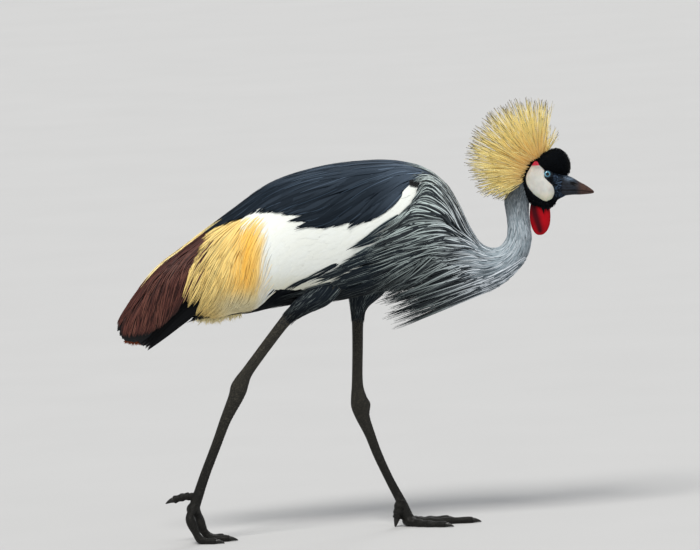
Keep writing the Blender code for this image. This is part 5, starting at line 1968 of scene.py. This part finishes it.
    def tail(self):
        """Twelve vanes side by side, closed like a folded fan, that end level with the wing's tip."""
        f = (np.arange(12) - 5.5) / 5.5
        off = np.abs(f)
        root = np.stack([np.full(12, -0.255), 0.012 * f, 0.455 - 0.006 * off], axis=-1)
        bend = np.stack([np.full(12, -0.330), 0.020 * f, 0.425 - 0.012 * off], axis=-1)
        tip = np.stack([-0.4165 + 0.020 * off, 0.016 * f, 0.3735 - 0.016 * off], axis=-1)
        out = np.stack([np.full(12, -0.4), 0.35 * f, np.full(12, 0.9)], axis=-1)
        points, normals = arcs(root, bend, tip, out)
        return points, normals, 0.0100, BODY.patch(np.full(12, 2.0), np.linspace(0, 0.8, 12))


class CRANE_OT_head_coat(CraneOperator):
    """Velvet of cap, nape and throat, and the short feathers of the lores"""

    bl_idname = "crane.head_coat"
    bl_label = "Head coat"

    SEED = 53
    # Where the velvet points over the wattle end: x, z
    POINTS = [(0.3326, 0.5400), (0.3406, 0.5430)]

    def execute(self, context):
        random = np.random.default_rng(self.SEED)
        material = feather_material("velvet head feather", 0.85, streak=0.3, barb_depth=0.0, specular=0.08)

        def tint(points, t, chance):
            return ridge_tint(colour("velvet") * 0.6, colour("face") * 0.22, t, chance * 0.7)

        def head_tint(points, t, chance):
            lores = smoothstep(0.3490, 0.3580, points[..., 0]) * smoothstep(0.5640, 0.5730, points[..., 2])
            lores = lores[..., None, None]
            bare = (colour("face") * (0.20 + 3.4 * chance[:, None, None] ** 3))[:, None]
            return tint(points, t, chance) * (1 - lores) + bare * lores

        middle = np.array(CHEEK_CENTRE)
        loop = [tuple(middle + (np.array(p) - middle) * 1.02) for p in CHEEK_OUTLINE]

        def off_cheek(points):
            root, tip = points[:, 0], points[:, -1]
            return ~((inside(loop, root) | inside(loop, tip)) & (np.abs(root[:, 1]) > 0.006))

        def off_bare(points):
            """Clear of cheek, eye and bill."""
            root, tip = points[:, 0], points[:, -1]
            eye = np.array(EYE_PLACE)
            near_eye = np.linalg.norm(root[:, [0, 2]] - eye, axis=1) < 0.0088
            near_eye |= np.linalg.norm(tip[:, [0, 2]] - eye, axis=1) < 0.0080
            front = ramp(root[:, 2], [0.55, 0.57, 0.585, 0.61], [0.371, 0.375, 0.369, 0.374])
            front = front - 0.009 * (np.sin(root[:, 0] * 31000 + root[:, 1] * 17000) * 0.5 + 0.5) ** 2
            return ~near_eye & off_cheek(points) & (root[:, 0] < front)

        s, a = self.roots(HEAD, 0.2, 7.8, 0.0021, 0.0017, random)
        head = grow(
            HEAD, s, a, back_and_down(0.25), 0.0050, 0.00095, (0.0006, -0.0007), RIDGED, pointed, head_tint,
            random, knots=4, flat=0.5, keep=off_bare,
        )
        bib = self.bib(random, tint)
        s, a = self.roots(CAP, 0.15, 7.95, 0.0020, 0.0016, random)
        cap = grow(
            CAP, s, a, backwards, 0.0048, 0.0009, (0.0022, -0.0002), RIDGED, pointed, tint, random,
            knots=4, flat=0.5, keep=off_cheek,
        )
        make_piece("head_velvet", [head, *bib], material, coat=True)
        make_piece("cap_velvet", [cap], material, ["cap"], coat=True)
        return {"FINISHED"}

    def bib(self, random, tint):
        """Throat feathers over the wattle's root, and two hanging points of velvet on each side of it."""

        def down(place, s, along):
            return np.broadcast_to(np.array([-0.12, 0, -1.0]), place.shape)

        s, a = self.roots(HEAD, 2.2, 5.6, 0.0020, 0.0016, random)
        low = np.abs(a - math.pi) < 0.75
        s, a = s[low], a[low]
        x = HEAD.point(s, a)[:, 0]
        length = ramp(x, [0.318, 0.330, 0.3360, 0.3405, 0.348], [0.0020, 0.0025, 0.0035, 0.0030, 0.0020])
        batches = [
            grow(
                HEAD, s, a, down, length, 0.0010, (0.001, -0.0035), RIDGED, pointed, tint, random,
                knots=5, flat=0.5, sway=0.15,
            )
        ]
        count, root_z = 45, 0.5600
        for sign in SIDES.values():
            for tip_x, tip_z in self.POINTS:
                aside = random.uniform(-1, 1, count)
                drop = (1 - 0.5 * np.abs(aside)) * random.uniform(0.55, 1, count)
                root = np.stack(
                    [tip_x + 0.0048 * aside, np.full(count, sign * 0.0105), np.full(count, root_z)], axis=-1
                )
                fall = np.stack(
                    [-0.0048 * aside * drop, np.zeros(count), (tip_z + 0.001 - root_z) * drop], axis=-1
                )
                patch = HEAD.patch(np.full(count, 3.2), np.full(count, math.pi + 0.5 * sign))
                batches.append(hanging(root, fall, np.zeros((count, 3)), 0.0010, 5, tint, patch, random))
        return batches


class CRANE_OT_crest(CraneOperator):
    """Stiff bristles that fan from the back of the crown"""

    bl_idname = "crane.crest"
    bl_label = "Crest"

    SEED = 71
    # Direction of the crest's middle, in degrees from +X over +Z, and how many bristles lean forward
    TILT = 148.5
    FORWARD = 40
    # Angle of the bristle, and x and z of its root
    ROOTS = [
        (50, 0.3380, 0.6460), (75, 0.3300, 0.6425), (100, 0.3225, 0.6390), (125, 0.3150, 0.6345),
        (150, 0.3090, 0.6280), (180, 0.3055, 0.6195), (210, 0.3040, 0.6100), (240, 0.3045, 0.5990),
    ]

    def execute(self, context):
        random = np.random.default_rng(self.SEED)
        count = self.sizes.crest_bristles
        tilt = math.radians(self.TILT)
        back = np.array([math.cos(tilt), 0, math.sin(tilt)])
        up = np.array([math.sin(tilt), 0, -math.cos(tilt)])
        # Directions spread evenly over the half ball behind the crown, golden angle apart
        index = np.arange(count) + 0.5
        height = 1.0 - index / count * 0.90
        turn = index * math.pi * (3 - math.sqrt(5))
        ring = np.sqrt(1 - height**2)
        spoke = np.cos(turn)[:, None] * up + np.sin(turn)[:, None] * np.array([0, 1.0, 0])
        way = height[:, None] * back + ring[:, None] * spoke
        way = unit(way + random.normal(0, 0.030, (count, 3)))
        way = way[random.uniform(0, 1, count) > 0.6 * smoothstep(0.35, 0.8, np.abs(way[:, 1]))]
        count = len(way)
        reach = self.sizes.crest_reach
        stretch = np.array([reach, self.sizes.crest_half_width, reach])
        length = 1 / np.sqrt(np.sum((way / stretch) ** 2, axis=1)) * random.uniform(0.80, 1.0, count) ** 0.6
        # Those that lie down along the nape are shorter
        angle = np.degrees(np.arctan2(way[:, 2], way[:, 0])) % 360
        length = length * ramp(angle, [175, 200, 215, 225, 235], [1.0, 0.95, 0.90, 0.79, 0.68])
        # Thin short ones that lean forward over the cap
        fore = np.radians(random.uniform(36, 58, self.FORWARD))
        lean = np.stack([np.cos(fore), random.normal(0, 0.16, self.FORWARD), np.sin(fore)], axis=-1)
        way = np.concatenate([way, unit(lean)])
        length = np.concatenate([length, random.uniform(0.052, 0.080, self.FORWARD)])
        count = len(way)
        middle = np.array([0.3130, 0.0, 0.6335])
        # Roots lie along crown and nape, each at its bristle's own angle in the side view
        angle = np.degrees(np.arctan2(way[:, 2], way[:, 0])) % 360
        line = np.array(self.ROOTS)
        root_x, root_z = (ramp(angle, line[:, 0], line[:, column]) for column in (1, 2))
        root = np.stack([root_x, way[:, 1] * 0.012, root_z], axis=-1)
        root = root + random.normal(0, 0.0012, (count, 3))
        # Those that lean to a side also lean back
        aside = way[:, 1:2] ** 2
        tip = middle + way * length[:, None] + aside * np.array([-0.022, 0, 0.008])
        t = np.linspace(0, 1, 9)
        sag = np.cross(way, random.normal(0, 1, (count, 3))) * 0.05
        points = root[:, None] + (tip - root)[:, None] * t[None, :, None]
        points = points + (sag * length[:, None])[:, None] * (t * (1 - t))[None, :, None] * 2
        # Ridges face away from the middle plane, turned a little by chance
        outward = np.array([0, 1.0, 0]) * np.where(way[:, 1:2] < 0, -1, 1)
        one = unit(outward - way * np.sum(way * outward, axis=1, keepdims=True))[:, None]
        other = np.cross(way[:, None], one)
        spin = random.normal(0, 0.5, count)[:, None] + t[None] * random.normal(0, 0.8, count)[:, None]
        normals = one * np.cos(spin)[..., None] + other * np.sin(spin)[..., None]
        width = 0.00047 * random.uniform(0.8, 1.3, count)[:, None]
        width = width * ramp(t, [0, 0.1, 0.8, 1], [1.2, 1.0, 0.95, 0.70])[None]
        chance = random.uniform(0, 1, count)[:, None]
        paler = ramp(t, [0, 0.25, 0.6, 1], [0.0, 0.3, 0.85, 1.0])[None] + 0.3 * (chance - 0.5)
        tone = mixed("crest_gold", "crest_straw", np.clip(paler, 0, 1))
        dark_tip = smoothstep(0.86, 0.93, t[None] + 0.08 * (chance - 0.5)) * (chance < 0.9)
        tone = tone * (
            1 - 0.6 * (1 - smoothstep(0.05, 0.15, chance)) * smoothstep(0.1, 0.5, t[None])
        )[..., None]
        tone = tone * (1 - dark_tip[..., None]) + np.array([0.02, 0.014, 0.008]) * dark_tip[..., None]
        brown = mixed(tone, "crest_brown", 0.20 * smoothstep(0.15, 0.6, t[None]) * (1 - dark_tip))
        tint = np.stack([tone, tone, brown], axis=2)
        patch = HEAD.patch(1.0 + 2.0 * (np.arange(count) / count), np.arange(count) * 2.4 % (2 * math.pi))
        batch = vanes(points, normals, width, width * 0.7, RIDGED, tint, patch, random)
        material = feather_material(
            "crest bristle", 0.5, barb_mm=3.5, bands=0.35, streak=0.12, barb_depth=0.05, sheen=1.0,
            specular=0.3
        )
        material.node_tree.nodes["Principled BSDF"].inputs["Sheen Tint"].default_value = (1.0, 0.80, 0.36, 1)
        make_piece("crest_bristles", [batch], material, ["crest"], coat=True)
        return {"FINISHED"}


class CRANE_OT_stage(CraneOperator):
    """Pale floor, soft studio light and the camera"""

    bl_idname = "crane.stage"
    bl_label = "Stage"

    def execute(self, context):
        self.floor()
        self.lights()
        self.camera()
        return {"FINISHED"}

    def floor(self):
        mesh = bpy.data.meshes.new("floor")
        reach = 400.0
        corners = [(-reach, -reach, 0), (reach, -reach, 0), (reach, reach, 0), (-reach, reach, 0)]
        mesh.from_pydata(corners, [], [(0, 1, 2, 3)])
        floor = bpy.data.objects.new("floor", mesh)
        bpy.context.scene.collection.objects.link(floor)
        material, tree, shader = new_material("matte studio floor", roughness=0.9, specular=0.2)
        place = add_node(tree, "ShaderNodeTexCoord").outputs["Object"]
        tone = add_node(
            tree, "ShaderNodeMapRange", Value=noise(tree, place, 3.0, 2.0), From_Min=0.0, From_Max=1.0,
            To_Min=0.50, To_Max=0.53,
        ).outputs[0]
        link_shader(tree, shader, tone)
        mesh.materials.append(material)

    def lights(self):
        scene = bpy.context.scene
        world = bpy.data.worlds.new("studio")
        scene.world = world
        world.use_nodes = True
        background = world.node_tree.nodes["Background"]
        background.inputs["Color"].default_value = (0.93, 0.96, 1.0, 1)
        background.inputs["Strength"].default_value = 0.42
        # Key from above left of the camera, fill from the right, light from behind on the rim
        for name, strength, spread, way, tone in (
            ("key", 2.9, 22, (-0.35, -0.75, 1.1), (1.0, 0.98, 0.94)),
            ("fill", 0.35, 50, (0.9, -0.6, 0.35), (0.95, 0.97, 1.0)),
            ("rim", 0.7, 25, (0.3, 0.9, 0.8), (1.0, 1.0, 1.0)),
        ):
            light = bpy.data.lights.new(name, "SUN")
            light.energy = strength
            light.angle = math.radians(spread)
            light.color = tone
            lamp = bpy.data.objects.new(name, light)
            lamp.rotation_euler = Vector(way).to_track_quat("Z", "Y").to_euler()
            scene.collection.objects.link(lamp)

    def camera(self):
        """Side view from -Y, 5.5 degrees above the horizontal, rolled 3 degrees as in the photograph."""
        scene = bpy.context.scene
        distance, width_at_bird, sensor_width = 16.0, 1.225, 36.0
        target = Vector((-0.0109, 0.0, 0.4523))
        forward = Vector((0, math.cos(ELEVATION), -math.sin(ELEVATION)))
        rise = Vector((0, math.sin(ELEVATION), math.cos(ELEVATION)))
        level = Vector((1, 0, 0))
        right = level * math.cos(ROLL) - rise * math.sin(ROLL)
        up = level * math.sin(ROLL) + rise * math.cos(ROLL)
        data = bpy.data.cameras.new("camera")
        data.sensor_width = sensor_width
        data.lens = sensor_width * distance / width_at_bird
        data.clip_start, data.clip_end = 0.1, 1500.0
        camera = bpy.data.objects.new("camera", data)
        turn = Matrix((right, up, -forward)).transposed()
        camera.matrix_world = Matrix.Translation(target - forward * distance) @ turn.to_4x4()
        scene.collection.objects.link(camera)
        scene.camera = camera
        scene.view_settings.view_transform = "Standard"


OPERATORS = (
    CRANE_OT_skin, CRANE_OT_eyes, CRANE_OT_face, CRANE_OT_claws, CRANE_OT_neck_coat, CRANE_OT_body_coat,
    CRANE_OT_wings, CRANE_OT_head_coat, CRANE_OT_crest, CRANE_OT_stage,
)


class CRANE_PT_panel(bpy.types.Panel):
    """Lists the crane's operators, sizes and colours"""

    bl_idname = "CRANE_PT_panel"
    bl_label = "Grey crowned crane"
    bl_space_type = "VIEW_3D"
    bl_region_type = "UI"
    bl_category = "Crane"

    def draw(self, context):
        for operator in OPERATORS:
            self.layout.operator(operator.bl_idname)
        for group in (context.scene.crane_sizes, context.scene.crane_colours):
            for name in group.bl_rna.properties.keys():
                if name not in ("rna_type", "name"):
                    self.layout.prop(group, name)


CLASSES = (CraneColours, CraneSizes, *OPERATORS, CRANE_PT_panel)


def register():
    for item in CLASSES:
        bpy.utils.register_class(item)
    bpy.types.Scene.crane_colours = bpy.props.PointerProperty(type=CraneColours)
    bpy.types.Scene.crane_sizes = bpy.props.PointerProperty(type=CraneSizes)


def unregister():
    del bpy.types.Scene.crane_colours
    del bpy.types.Scene.crane_sizes
    for item in reversed(CLASSES):
        bpy.utils.unregister_class(item)


def main():
    register()
    for operator in OPERATORS:
        group, name = operator.bl_idname.split(".")
        getattr(getattr(bpy.ops, group), name)()


if __name__ == "__main__":
    main()
